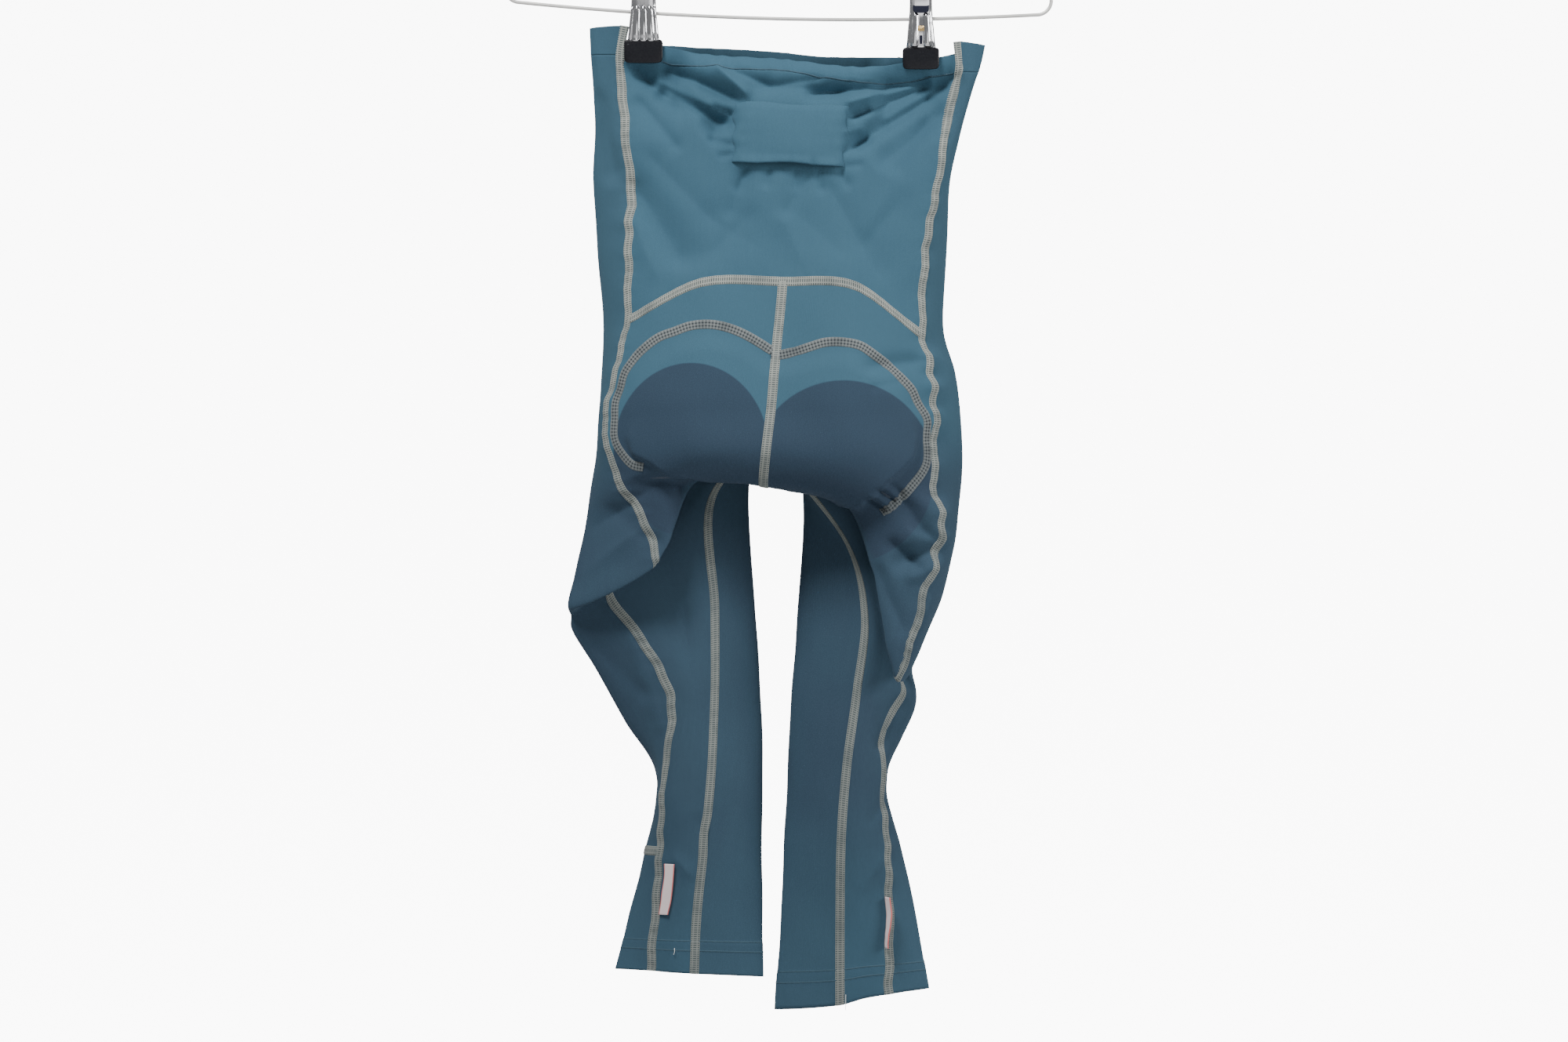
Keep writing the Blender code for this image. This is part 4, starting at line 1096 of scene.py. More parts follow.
def tube(
    name: str, path: Array, radius: float | Array, finish: Material, sides: int = 16
) -> Piece:
    """A round wire along a path, closed at both ends.

    Each ring is path + radius * (cos a * side + sin a * up), with side and up square to the path.

    Args:
        name: the piece's name.
        path: points, (n, 3).
        radius: one radius, or one for each point, in metres.
        finish: the material.
        sides: corners of each ring.

    Returns:
        The object.
    """
    run = np.gradient(path, axis=0)
    run /= np.linalg.norm(run, axis=1, keepdims=True)
    guide = np.array([0.0, 1.0, 0.0]) if abs(run[:, 1]).mean() < 0.7 else np.array([0.0, 0.0, 1.0])
    side = np.cross(run, guide)
    side /= np.linalg.norm(side, axis=1, keepdims=True)
    up = np.cross(side, run)
    angle = np.linspace(0, 2 * math.pi, sides, endpoint=False)
    size = np.broadcast_to(np.asarray(radius, float), (len(path),))[:, None, None]
    cosine, sine = np.cos(angle)[None, :, None], np.sin(angle)[None, :, None]
    rings = path[:, None] + size * (cosine * side[:, None] + sine * up[:, None])
    count = len(path)
    points = np.concatenate([rings.reshape(-1, 3), path[:1], path[-1:]])
    round_it = np.broadcast_arrays(angle[None, :] * MM, np.linspace(0, 1, count)[:, None])
    uv = np.concatenate([np.stack(round_it, -1).reshape(-1, 2), np.zeros((2, 2))])
    return put(name, points, turned_out(points, ring_faces(count, sides)), finish, uv)


def squared_off(value: Array, power: float) -> Array:
    """A cosine or sine raised to a power with its sign kept, which makes a circle squarer."""
    return np.sign(value) * np.abs(value) ** power


def turned_out(points: Array, faces: Array) -> Array:
    """Corner numbers of a closed form, in the order that makes its volume positive."""
    a, b, c = (points[faces[:, corner]] - points.mean(axis=0) for corner in range(3))
    return faces[:, ::-1] if np.einsum("ij,ij->", a, np.cross(b, c)) < 0 else faces


def settle(piece: Piece, slot: str, *nodes: str) -> Piece:
    """Let a piece ride on the one body, stand for CAD nodes and log its face count."""
    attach(piece, "root")
    if nodes:
        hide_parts(*nodes)
    LOG.info("%s: %d faces", piece.name, len(piece.data.polygons))
    return piece


def grid_area(points: Array) -> float:
    """The area of a grid of points, in square metres."""
    first, second = points[:-1, 1:] - points[:-1, :-1], points[1:, :-1] - points[:-1, :-1]
    third, fourth = points[:-1, 1:] - points[1:, 1:], points[1:, :-1] - points[1:, 1:]
    both = np.linalg.norm(np.cross(first, second), axis=-1) + np.linalg.norm(np.cross(third, fourth), axis=-1)
    return float(both.sum() / 2)


# The tights
@dataclass
class Sewn:
    """A panel's piece and the pieces that are sewn on it."""

    piece: Piece
    outer: Array
    held: str = "hung"
    trims: list = field(default_factory=list)

    def declare(self) -> None:
        """Work out the panel's area; nothing keeps it."""
        area = grid_area(self.outer)


@dataclass
class Panels:
    """The cut panels of the tights, as thin shells on the cloth surface."""

    form: ClothForm
    finishes: Finishes
    wall_mm: float = 0.9
    gap_mm: float = 0.25
    rows_per_section: int = 24
    back_steps: int = 40
    front_steps: tuple = (16, 12, 16, 12, 12)
    made: dict = field(default_factory=dict)

    def build(self) -> None:
        """Make every panel."""
        form, upper, leg = self.form, self.finishes.upper, self.finishes.leg
        back = np.linspace(0, 2, 2 * self.back_steps + 1)
        across = np.concatenate([-back[::-1], back[1:]])
        front = form.spread((2, 3, 4, 5, 6, 7), self.front_steps)
        self._panel("back_panel", across, (form.band, form.yoke), upper, "upper cloth")
        for sign, side in SIDES:
            half, rows = sign * np.maximum(back, 1e-6), (form.yoke, form.last)
            self._panel(f"seat_leg_{side}", half, rows, self.finishes.seat, "leg cloth")
        split = form.front_seam
        outside = np.append(front[front < split - 0.04], split)
        inside = np.insert(front[front > split + 0.04], 0, split)
        for sign, side in SIDES:
            last = form.calf_seam if sign < 0 else form.last
            self._panel(f"front_leg_{side}", sign * inside, (form.band, form.last), leg, "leg cloth")
            self._panel(f"side_panel_{side}", sign * outside, (form.band, last), leg, "leg cloth")
        self._panel("calf_side_left", -outside, (form.calf_seam, form.last), leg, "leg cloth")
        band = (0.0, form.band)
        self._panel("waistband_back", across, band, upper, "upper cloth")
        round_front = np.concatenate([-front, front[::-1][1:]])
        self._panel("waistband_front", round_front, band, leg, "upper cloth")

    def _panel(self, node: str, columns: Array, rows: tuple, finish: Material, slot: str) -> None:
        """One panel: the outer face at each u and v, drawn back at its seams, and an inner face behind it.

        Args:
            node: the CAD node it stands for.
            columns: values of u.
            rows: first and last v.
            finish: the material.
            slot: a material slot's name; not used.
        """
        first, last = rows
        v = self.form.row_values(first, last, self.rows_per_section)
        u, v = np.meshgrid(columns, v)
        outer, away = self.form.finished(u, v)
        self._pull_in(outer, u, v)
        wall = self.form.wall(v, self.wall_mm)
        inner = outer - away * wall[..., None] * MM
        cloth = slab(f"{node}_cloth", outer, inner, finish, None, np.stack([u, v], axis=-1))
        self.made[node] = Sewn(settle(cloth, slot, node), outer)

    def _pull_in(self, points: Array, u: Array, v: Array) -> None:
        """Draw the four edges back by half a seam gap, further beside the crotch and in the folds."""
        half = self.gap_mm / 2
        centre = np.minimum(np.abs(u), LINES - 1 - np.abs(u)) < 0.01
        middle, reach = np.where(centre, CROTCH, CROTCH + 0.6), np.where(centre, 0.5, 0.9)
        gap = (half + np.where(centre, 1.0, 0.8) * np.exp(-(((v - middle) / reach) ** 2))) * MM

        def step(edge: Array, inside: Array) -> Array:
            """The direction from an edge point to the cloth inside it."""
            away = inside - edge
            return away / (np.linalg.norm(away, axis=-1, keepdims=True) + 1e-12)

        points[:, 0] += step(points[:, 0], points[:, 2]) * gap[:, :1]
        points[:, -1] += step(points[:, -1], points[:, -3]) * gap[:, -1:]
        if v[0, 0] > 0:
            points[0] += step(points[0], points[1]) * half * MM
        if v[-1, 0] < self.form.last:
            points[-1] += step(points[-1], points[-2]) * half * MM


@dataclass
class Seam:
    """A line of cover stitching along a path of the cloth surface."""

    name: str
    u: Array
    v: Array
    panel: str
    half_mm: float = 3.6
    look: ThreadLook = ThreadLook.LADDER


@dataclass
class Stitching:
    """Flatlock seams, the braid round the seat pad, and the twin-needle hem lines."""

    form: ClothForm
    finishes: Finishes
    panels: Panels
    step_mm: float = 0.5
    thick_mm: float = 0.45
    relief_mm: float = 0.16
    rail: float = 0.5
    shares: tuple = (-1, -0.9, -0.72, -0.5, -0.25, 0, 0.25, 0.5, 0.72, 0.9, 1)
    needle_step_mm: float = 0.8
    needle_thick_mm: float = 0.22
    needle_shares: tuple = (-1, 0, 1)
    hem_lines_mm: tuple = (17.4, 24.6)

    def build(self) -> None:
        """Make every line of stitching and hand it to the panel it is sewn on."""
        for seam in [*self._seams(), *self._pad_outline(), *self._needle_lines()]:
            piece = self._strip(seam)
            self.panels.made[seam.panel].trims.append(piece)

    def _seams(self) -> list[Seam]:
        """The flatlock seams between panels, each an even run from one u and v to another."""
        form, last = self.form, self.form.last
        cross = (-2.06, 0.04 - form.front_seam)
        runs = []
        for sign, side in SIDES:
            leg = f"seat_leg_{side}"
            runs.append((f"side_seam_{side}", (2.0 * sign,) * 2, (0.0, last), 900, leg))
            runs.append((f"inner_leg_seam_{side}", (1e-6 * sign,) * 2, (CROTCH + 0.25, last), 500, leg))
        runs += [
            ("centre_back_seam", (1e-6,) * 2, (form.yoke, CROTCH - 0.15), 500, "seat_leg_right"),
            ("centre_front_seam", (7.0 - 1e-6,) * 2, (0.0, CROTCH - 0.2), 500, "front_leg_right"),
            ("yoke_seam", (-1.94, 1.94), (form.yoke,) * 2, 600, "back_panel"),
            ("calf_cross_seam", cross, (form.calf_seam,) * 2, 300, "calf_side_left"),
        ]
        for sign, side in SIDES:
            across = (sign * form.front_seam,) * 2
            runs.append((f"front_seam_{side}", across, (0.0, last), 900, f"front_leg_{side}"))
        return [Seam(name, np.linspace(*u, n), np.linspace(*v, n), panel) for name, u, v, n, panel in runs]

    def _pad_outline(self) -> list[Seam]:
        """The braid round the seat pad, from places (across, drop) on the back."""
        found = []
        for side, places in PAD_OUTLINE.items():
            across, drop = self.form.smooth_path(np.array(places, float), 300)
            u, v = self.form.find(across, drop, across / 62, 5 + (drop - 200) / 37)
            keep = (np.abs(u) < 1.97) & (v < 10.2)
            braid = Seam(f"pad_braid_{side}", u[keep], v[keep], f"seat_leg_{side}", look=ThreadLook.BRAID)
            found.append(braid)
        return found

    def _needle_lines(self) -> list[Seam]:
        """Two needle lines round each hem, and one below the waist."""
        found = []
        for sign, side in SIDES:
            for number, up in enumerate(self.hem_lines_mm):
                u, v = sign * np.linspace(0.06, 6.94, 900), np.full(900, self.form.above_hem(sign, up))
                name, leg = f"hem_line_{side}_{number}", f"seat_leg_{side}"
                found.append(Seam(name, u, v, leg, 0.55, ThreadLook.BRAID))
        u = np.linspace(-1.9, 1.9, 700)
        found.append(Seam("waist_line", u, np.full(700, 0.97), "back_panel", 0.5, ThreadLook.BRAID))
        return found

    def _strip(self, seam: Seam) -> Piece:
        """A raised strip: across the path by a * half width, and out by a low arch with the threads on it.

        The arch is thick * (1 - a ** 6). A ladder adds rungs, sin(turns), and two rails. A braid adds threads
        that cross, sin(turns + slant * a) * sin(turns - slant * a). A needle line is a low arch with waves.

        Args:
            seam: the seam's path and size.

        Returns:
            The piece.
        """
        form = self.form
        path = form.fine(seam.u, seam.v)
        length = np.concatenate([[0], np.cumsum(np.linalg.norm(np.diff(path, axis=0), axis=-1))])
        fine = seam.half_mm < 1
        count = max(8, int(length[-1] / MM / (self.needle_step_mm if fine else self.step_mm)))
        along = np.linspace(0, length[-1], count)
        u, v = np.interp(along, length, seam.u), np.interp(along, length, seam.v)
        path, normal = form.finished(u, v)
        run = np.gradient(path, axis=0)
        run /= np.linalg.norm(run, axis=1, keepdims=True) + 1e-12
        side = np.cross(normal, run)
        side /= np.linalg.norm(side, axis=1, keepdims=True) + 1e-12
        a = np.array(self.needle_shares if fine else self.shares, float)
        base = self._laid(u, v, path, side, seam.half_mm, a)
        pitch = LADDER_MM if seam.look is ThreadLook.LADDER else BRAID_MM
        turns = along[:, None] / MM / pitch * 2 * math.pi
        size = np.abs(a)
        arch = self.thick_mm * (1 - size**6)
        if fine:
            arch, relief = self.needle_thick_mm * (1 - a**2), 0.06 * np.sin(turns)
        elif seam.look is ThreadLook.LADDER:
            rails = np.exp(-(((size - self.rail) / 0.12) ** 2))
            relief = self.relief_mm * np.sin(turns) * (size < 0.95) * (1 - rails) + 0.12 * rails
        else:
            woven = np.sin(turns + BRAID_SLANT * a) * np.sin(turns - BRAID_SLANT * a)
            relief = self.relief_mm * woven * (size < 0.95)
        height = (arch + relief) * MM
        normal = np.cross(run[:, None], np.gradient(base, axis=1))
        normal /= np.linalg.norm(normal, axis=-1, keepdims=True) + 1e-12
        outer = base + normal * (height + 0.1 * MM)[..., None]
        inner = base - normal * (0.25 * MM)
        uv = np.stack(np.broadcast_arrays(a, along[:, None]), axis=-1)
        thread = self.finishes.ladder if seam.look is ThreadLook.LADDER else self.finishes.braid
        return settle(slab(seam.name, outer, inner, self.finishes.line if fine else thread, uv), "leg cloth")

    def _laid(self, u: Array, v: Array, path: Array, side: Array, half_mm: float, a: Array) -> Array:
        """The cloth under the strip at each share a of its half width, found by the surface's own slopes.

        Args:
            u: the path's u.
            v: the path's v.
            path: the path's points.
            side: directions square to the path.
            half_mm: the strip's half width.
            a: shares of the half width.

        Returns:
            Points, (path, share, 3).
        """
        form, small = self.form, 0.02
        reach, share = half_mm * MM, np.broadcast_to(a, (len(u), len(a)))
        flat = path[:, None] + side[:, None] * (share * reach)[..., None]
        sign, size = np.where(u < 0, -1.0, 1.0), np.abs(u)
        if np.ptp(v) < 0.01 * np.ptp(u):
            above, below = np.clip(v - small, 0, form.last), np.clip(v + small, 0, form.last)
            by_v = (form.fine(u, below) - form.fine(u, above)) / (below - above)[:, None]
            step = reach * np.einsum("ij,ij->i", side, by_v) / np.einsum("ij,ij->i", by_v, by_v)
            places = form.fine(u[:, None] + 0 * a, np.clip(v[:, None] + step[:, None] * a, 0, form.last))
        elif np.ptp(u) < 0.01 * np.ptp(v):
            centre = size.max() < 0.01 or size.min() > 6.9
            joined = sign if v.mean() > CROTCH and size.max() < 0.01 else -sign
            other = 7 - size if v.mean() > CROTCH and centre else size
            here = np.where(size > 6.9, -1.0, 1.0) if centre else 1.0 + 0 * size
            by_u = (form.fine(sign * np.clip(size + here * small, 0, 7), v) - path) / (small * here)[:, None]
            toward = np.where(np.einsum("ij,ij->i", side, by_u) * here > 0, 1.0, -1.0)[:, None]
            length = np.linalg.norm(by_u, axis=1)[:, None]
            moved = size[:, None] + here[:, None] * toward * share * reach / length
            near = sign[:, None] * np.clip(moved, 1e-6, 7 - 1e-6)
            places = form.fine(near, v[:, None] + 0 * a)
            if centre:
                back = np.where(other > 3, -1.0, 1.0)
                across = form.fine(joined * np.clip(other + back * small, 0, 7), v) - path
                length = np.linalg.norm(across, axis=1)[:, None] / small
                far = np.clip(other[:, None] + back[:, None] * np.abs(share) * reach / length, 1e-6, 7 - 1e-6)
                beyond = form.fine(joined[:, None] * far, v[:, None] + 0 * a)
                places = np.where((toward * share > 0)[..., None], places, beyond)
        else:
            by_u = (form.fine(u + small, v) - form.fine(u - small, v)) / (2 * small)
            by_v = (form.fine(u, v + small) - form.fine(u, v - small)) / (2 * small)
            both = np.einsum("ij,ij->i", by_u, by_v)
            u_run, v_run = (np.einsum("ij,ij->i", by, by) for by in (by_u, by_v))
            to_u, to_v = (np.einsum("ij,ij->i", by, side) for by in (by_u, by_v))
            scale = reach / (u_run * v_run - both**2)
            u_step, v_step = (to_u * v_run - to_v * both) * scale, (to_v * u_run - to_u * both) * scale
            return form.fine(u[:, None] + u_step[:, None] * a, v[:, None] + v_step[:, None] * a)
        free = smooth(0.7, 1.25, v)[:, None, None]
        places = free * places + (1 - free) * flat
        width = np.linalg.norm(np.diff(places, axis=1), axis=-1).sum(axis=1, keepdims=True)[..., None]
        even = np.clip(2 * half_mm * MM / np.maximum(width, 1e-6), 0.6, 1.6)
        return path[:, None] + (places - path[:, None]) * even



@dataclass
class BackPocket:
    """The patch pocket on the back, puffed in the middle, with its lower edge standing off the panel."""

    form: ClothForm
    finishes: Finishes
    left: float = -38.5
    right: float = 48.5
    top: float = 65.5
    bottom: float = 112.5
    tilt: float = 0.04
    slope: float = 3.6
    stitched: float = 0.73
    lift: float = 0.25
    puff: float = 4.6
    steps: tuple = (72, 40)

    def build(self) -> None:
        """Make the pocket as a slab on the back panel.

        The pocket stands off the panel by lift + puff * (4 * a * (1 - a)) ** 0.42 * an arch down that stays
        open at the foot, with small dents along its edges and a lower edge that stands off further.
        """
        columns = np.linspace(self.left, self.right, self.steps[0] + 1)
        rows = np.linspace(self.top, self.bottom, self.steps[1] + 1)
        across, drop = np.meshgrid(columns, rows)
        a = np.linspace(0, 1, self.steps[0] + 1)[None, :]
        t = np.linspace(0, 1, self.steps[1] + 1)[:, None]
        rim = np.exp(-a * 14) * np.sin(t * 17 + 0.6) + np.exp(-(1 - a) * 14) * np.sin(t * 13 + 1.1)
        across = across + 1.3 * rim - self.slope * a * smooth(0.4, 1.0, t)
        top, foot = 0.8 * np.exp(-t * 9) * np.sin(a * 11 + 2), 0.7 * t**8 * np.sin(a * 9.5)
        drop = drop + self.tilt * across + top + foot
        u, v = self.form.find(across, drop, across / 60, 1.6 + (drop - 65) / 46)
        open_foot = np.where(t < 0.5, np.clip(4 * t * (1 - t), 0, 1) ** 0.5, 1 - 0.45 * (2 * t - 1) ** 4)
        arch = np.clip(4 * a * (1 - a), 0, 1) ** 0.42 * open_foot
        dents = 0.35 * np.sin(a * 61 + np.sin(t * 5)) * np.exp(-t * 9)
        dents = dents + 0.3 * np.sin(a * 47) * np.exp(-(1 - t) * 8)
        sides = 0.35 * np.sin(t * 31) * (np.exp(-a * 12) + np.exp(-(1 - a) * 12))
        soft = 0.5 * np.sin(a * 7 + 0.6) * np.sin(t * 5.2) * arch
        held = np.clip(12 * a * (1 - a), 0, 1) * (1 - np.exp(-(((a - self.stitched) / 0.03) ** 2)))
        lower = 1.9 * smooth(0.84, 1.0, t) * held
        height = self.lift + self.puff * arch + (dents + sides) * arch**0.5 + soft + lower
        base, normal = self.form.finished(u, v)
        inner = base + normal * (height * MM)[..., None]
        body = smooth(0, 0.07, a) * smooth(0, 0.07, 1 - a) * smooth(0, 0.12, t)
        outer = inner + normal * ((0.3 + 0.6 * body) * MM)[..., None]
        cloth = slab("back_pocket_cloth", outer, inner, self.finishes.upper)
        piece = settle(cloth, "upper cloth", "back_pocket")
        Sewn(piece, outer).declare()


@dataclass
class SeatPad:
    """The foam pad behind the seat, thin at its edge. Its outline is (share of reach, top v, foot v)."""

    form: ClothForm
    finishes: Finishes
    reach: float = 1.78
    thick: float = 6.5
    gap: float = 1.7
    outline: tuple = (
        (0, 6.05, 10.6), (0.25, 5.85, 10.2), (0.5, 5.7, 9.5),
        (0.72, 5.85, 8.8), (0.9, 6.3, 8.3), (1, 6.95, 7.7),
    )

    def build(self) -> None:
        """Make the pad: two grids behind the cloth, 2 mm apart at the edge and thick in the middle."""
        share = np.linspace(-1, 1, 61)
        edge = np.abs(share)
        table = np.array(self.outline)
        top, bottom = np.interp(edge, table[:, 0], table[:, 1]), np.interp(edge, table[:, 0], table[:, 2])
        down_it = np.linspace(0, 1, 41)[:, None]
        v = top + (bottom - top) * down_it
        u = np.broadcast_to(share * self.reach, v.shape)
        base, normal = self.form.surface(u, v)
        rim = np.sqrt(np.clip(1 - edge**2, 0, 1)) * np.sqrt(np.clip(4 * down_it * (1 - down_it), 0, 1))
        outer = base - normal * (1.0 + self.gap) * MM
        inner = outer - normal * ((2 + (self.thick - 2) * rim) * MM)[..., None]
        pad = settle(slab("seat_pad_foam", outer, inner, self.finishes.foam), "pad foam", "seat_pad")


class Tab(NamedTuple):
    """A ribbon tab at a side seam: its place, size, how far it stands out edge-on, and its slant, in mm."""

    name: str
    across: float
    drop: float
    length: float
    width: float
    stand: float
    slant: float


@dataclass
class SideTabs:
    """Two folded ribbon tabs: the left lies on the leg, the right stands out from it."""

    form: ClothForm
    finishes: Finishes
    panels: Panels
    thick: float = 0.8
    tabs: tuple = (
        Tab("tab_left", -86.7, 645.5, 39.0, 7.6, 0.0, -4.5),
        Tab("tab_right", 78.0, 671.0, 39.0, 7.0, 1.0, 0.0),
    )

    def build(self) -> None:
        """Make both tabs, each a grid from its sewn edge to its fold."""
        for tab in self.tabs:
            sign = -1 if tab.across < 0 else 1
            down_it = np.linspace(0, tab.length, 40)
            a = np.linspace(-1, 1, 13)
            bend = 0.6 * np.sin(down_it / tab.length * math.pi) - 0.7 * smooth(0.7, 1.0, down_it / tab.length)
            flat = 1 - tab.stand
            across = tab.across + a[None, :] * tab.width / 2 * flat + bend[:, None] * flat
            across = across + (tab.slant * down_it / tab.length)[:, None]
            drop = np.broadcast_to((tab.drop + down_it)[:, None], across.shape)
            u, v = self.form.find(across, drop, np.full(across.shape, 1.6 * sign), 17 + (drop - 640) / 48)
            base, normal = self.form.finished(u, v)
            curl = 0.3 * np.sin(down_it / 6)[:, None] * smooth(-0.5, 1, a)[None, :]
            lift = 0.65 + 0.45 * smooth(-1, 1, a)[None, :] + curl
            root = base + normal * (lift * MM)[..., None]
            away = normal
            if tab.stand:
                out = (a + 1) / 2 * tab.width
                root = base[:, :1] + normal[:, :1] * ((0.4 + out) * MM)[None, :, None]
                root[..., 0] += (0.5 * np.sin(down_it / 7))[:, None] * (out / tab.width)[None, :] * MM
                away = np.broadcast_to(np.array([-1.0, 0.0, 0.0]), root.shape)
            uv = np.stack(np.broadcast_arrays(a[None, :], down_it[:, None] * MM), axis=-1)
            outer = root + away * self.thick * MM
            ribbon = slab(f"{tab.name}_ribbon", outer, root, self.finishes.ribbon, uv)
            panel = self.panels.made[f"seat_leg_{'left' if sign < 0 else 'right'}"]
            panel.trims.append(settle(ribbon, "tab ribbon", tab.name))


@dataclass
class LooseThreads:
    """Two thread ends that hang from the hem stitching."""

    form: ClothForm
    finishes: Finishes
    panels: Panels
    ends: tuple = ((-83.4, 710.0, 5.0, 0.6), (31.2, 729.5, 9.0, 2.4))
    radius_mm: float = 0.22

    def build(self) -> None:
        """Make each thread, (across, drop, length, curl) in mm, as a thin wire that curls on the cloth."""
        for number, (across, drop, length, curl) in enumerate(self.ends):
            t = np.linspace(0, 1, 30)
            x = across + curl * np.sin(t * 5) * t
            y = drop + length * t
            u, v = self.form.find(x, y, np.full(30, 1.4 if across > 0 else -0.9), 18.3 + (y - 720) / 60)
            lift = (0.6 + 0.9 * np.sin(t * math.pi)) * MM
            path, normal = self.form.finished(u, v)
            path = path + normal * lift[:, None]
            side = "left" if across < 0 else "right"
            thread = tube(f"loose_thread_{number}", path, self.radius_mm * MM, self.finishes.cotton, 8)
            self.panels.made[f"seat_leg_{side}"].trims.append(settle(thread, "tab ribbon"))


# The hanger
@dataclass
class Hanger:
    """The bent wire frame with its bar, the hook, and the collar."""

    finishes: Finishes
    bar_width: float = 418.0
    bar_sag: float = 8.6
    tilt: float = 1.38
    wire: float = 2.8
    corner: float = 11.0
    neck_drop: float = 104.0
    hook_wire: float = 3.2
    hook_radius: float = 22.6
    collar_wide: float = 9.0
    collar_long: float = 16.0

    def turned(self, across: Array, drop: Array) -> Array:
        """Places in the hanger's plane, turned about the hook by the tilt, in metres."""
        cosine, sine = math.cos(math.radians(self.tilt)), math.sin(math.radians(self.tilt))
        x, z = np.asarray(across) * MM, -np.asarray(drop) * MM
        return np.stack([x * cosine + z * sine, 0 * x, z * cosine - x * sine], axis=-1)

    def bar_drop(self, across: Array) -> Array:
        """How low the bar lies: a shallow bow, lowest in its middle."""
        return BAR_DROP - self.bar_sag * (np.asarray(across) / (self.bar_width / 2)) ** 2

    @staticmethod
    def _arc(centre: tuple, radius: float, first: float, last: float, steps: int) -> Array:
        """Places along an arc, with angles in degrees from +X towards +Z."""
        angles = np.radians(np.linspace(first, last, steps + 1))
        return np.stack([centre[0] + radius * np.cos(angles), centre[1] - radius * np.sin(angles)], axis=-1)

    def build(self) -> None:
        """Make the frame, the hook and the collar as smooth wires."""
        centre_x = self.bar_width / 2 - self.corner
        centre_z = float(self.bar_drop(centre_x)) - self.corner
        slope = math.degrees(math.atan2(centre_z - self.corner - self.neck_drop - 6, centre_x))
        right = self._arc((centre_x, centre_z), self.corner, -86, 90 - slope, 24)
        neck = self.wire / 2 + 0.25
        t = np.linspace(0, 1, 14)[:, None]
        top = self.neck_drop
        bends = np.array([(neck + 10, top + 10.2), (neck + 1, top + 7), (neck, top + 0.5)])
        shoulder = ((1 - t) ** 2 * bends[0] + 2 * t * (1 - t) * bends[1] + t**2 * bends[2])[1:]
        x = np.linspace(-centre_x + 4, centre_x - 4, 80)
        bar = np.stack([x, self.bar_drop(x)], axis=-1)
        right_side = np.concatenate([right, shoulder])
        left_side = (right_side * [-1, 1])[::-1]
        path = np.concatenate([left_side, bar, right_side])
        path = self.turned(path[:, 0], path[:, 1])
        frame_wire = tube("hanger_frame_wire", path, self.wire / 2 * MM, self.finishes.wire)
        settle(frame_wire, "chrome wire", "hanger_frame")

        hook = self._arc((0.0, self.hook_radius - self.hook_wire / 2), self.hook_radius, 205, -48, 60)
        t = np.linspace(0.05, 1, 16)
        swing = np.stack([hook[-1, 0] * (1 - smooth(0, 1, t)), hook[-1, 1] + 15 * t], axis=-1)
        stem = np.array([[0.0, self.neck_drop - self.collar_long - 0.3]])
        path = np.concatenate([hook, swing, stem])
        radius = np.full(len(path), self.hook_wire / 2 * MM)
        radius[:3] *= (0.55, 0.85, 0.97)
        hook_wire = tube("hanger_hook_wire", self.turned(path[:, 0], path[:, 1]), radius, self.finishes.wire)
        settle(hook_wire, "chrome wire", "hanger_hook")

        drop = np.linspace(self.neck_drop - self.collar_long, self.neck_drop, 25)
        share = (drop - drop.mean()) / (self.collar_long / 2)
        wide = self.collar_wide / 2 * np.clip(1 - share**12 * 0.3, 0, 1)
        collar = tube("hanger_collar_tube", self.turned(0 * drop, drop), wide * MM, self.finishes.chrome, 32)
        settle(collar, "chrome wire", "hanger_collar")


class ClipStyle(Enum):
    """How the chrome plate of a clip is pressed."""

    FLUTED = "fluted"
    SLOTTED = "slotted"


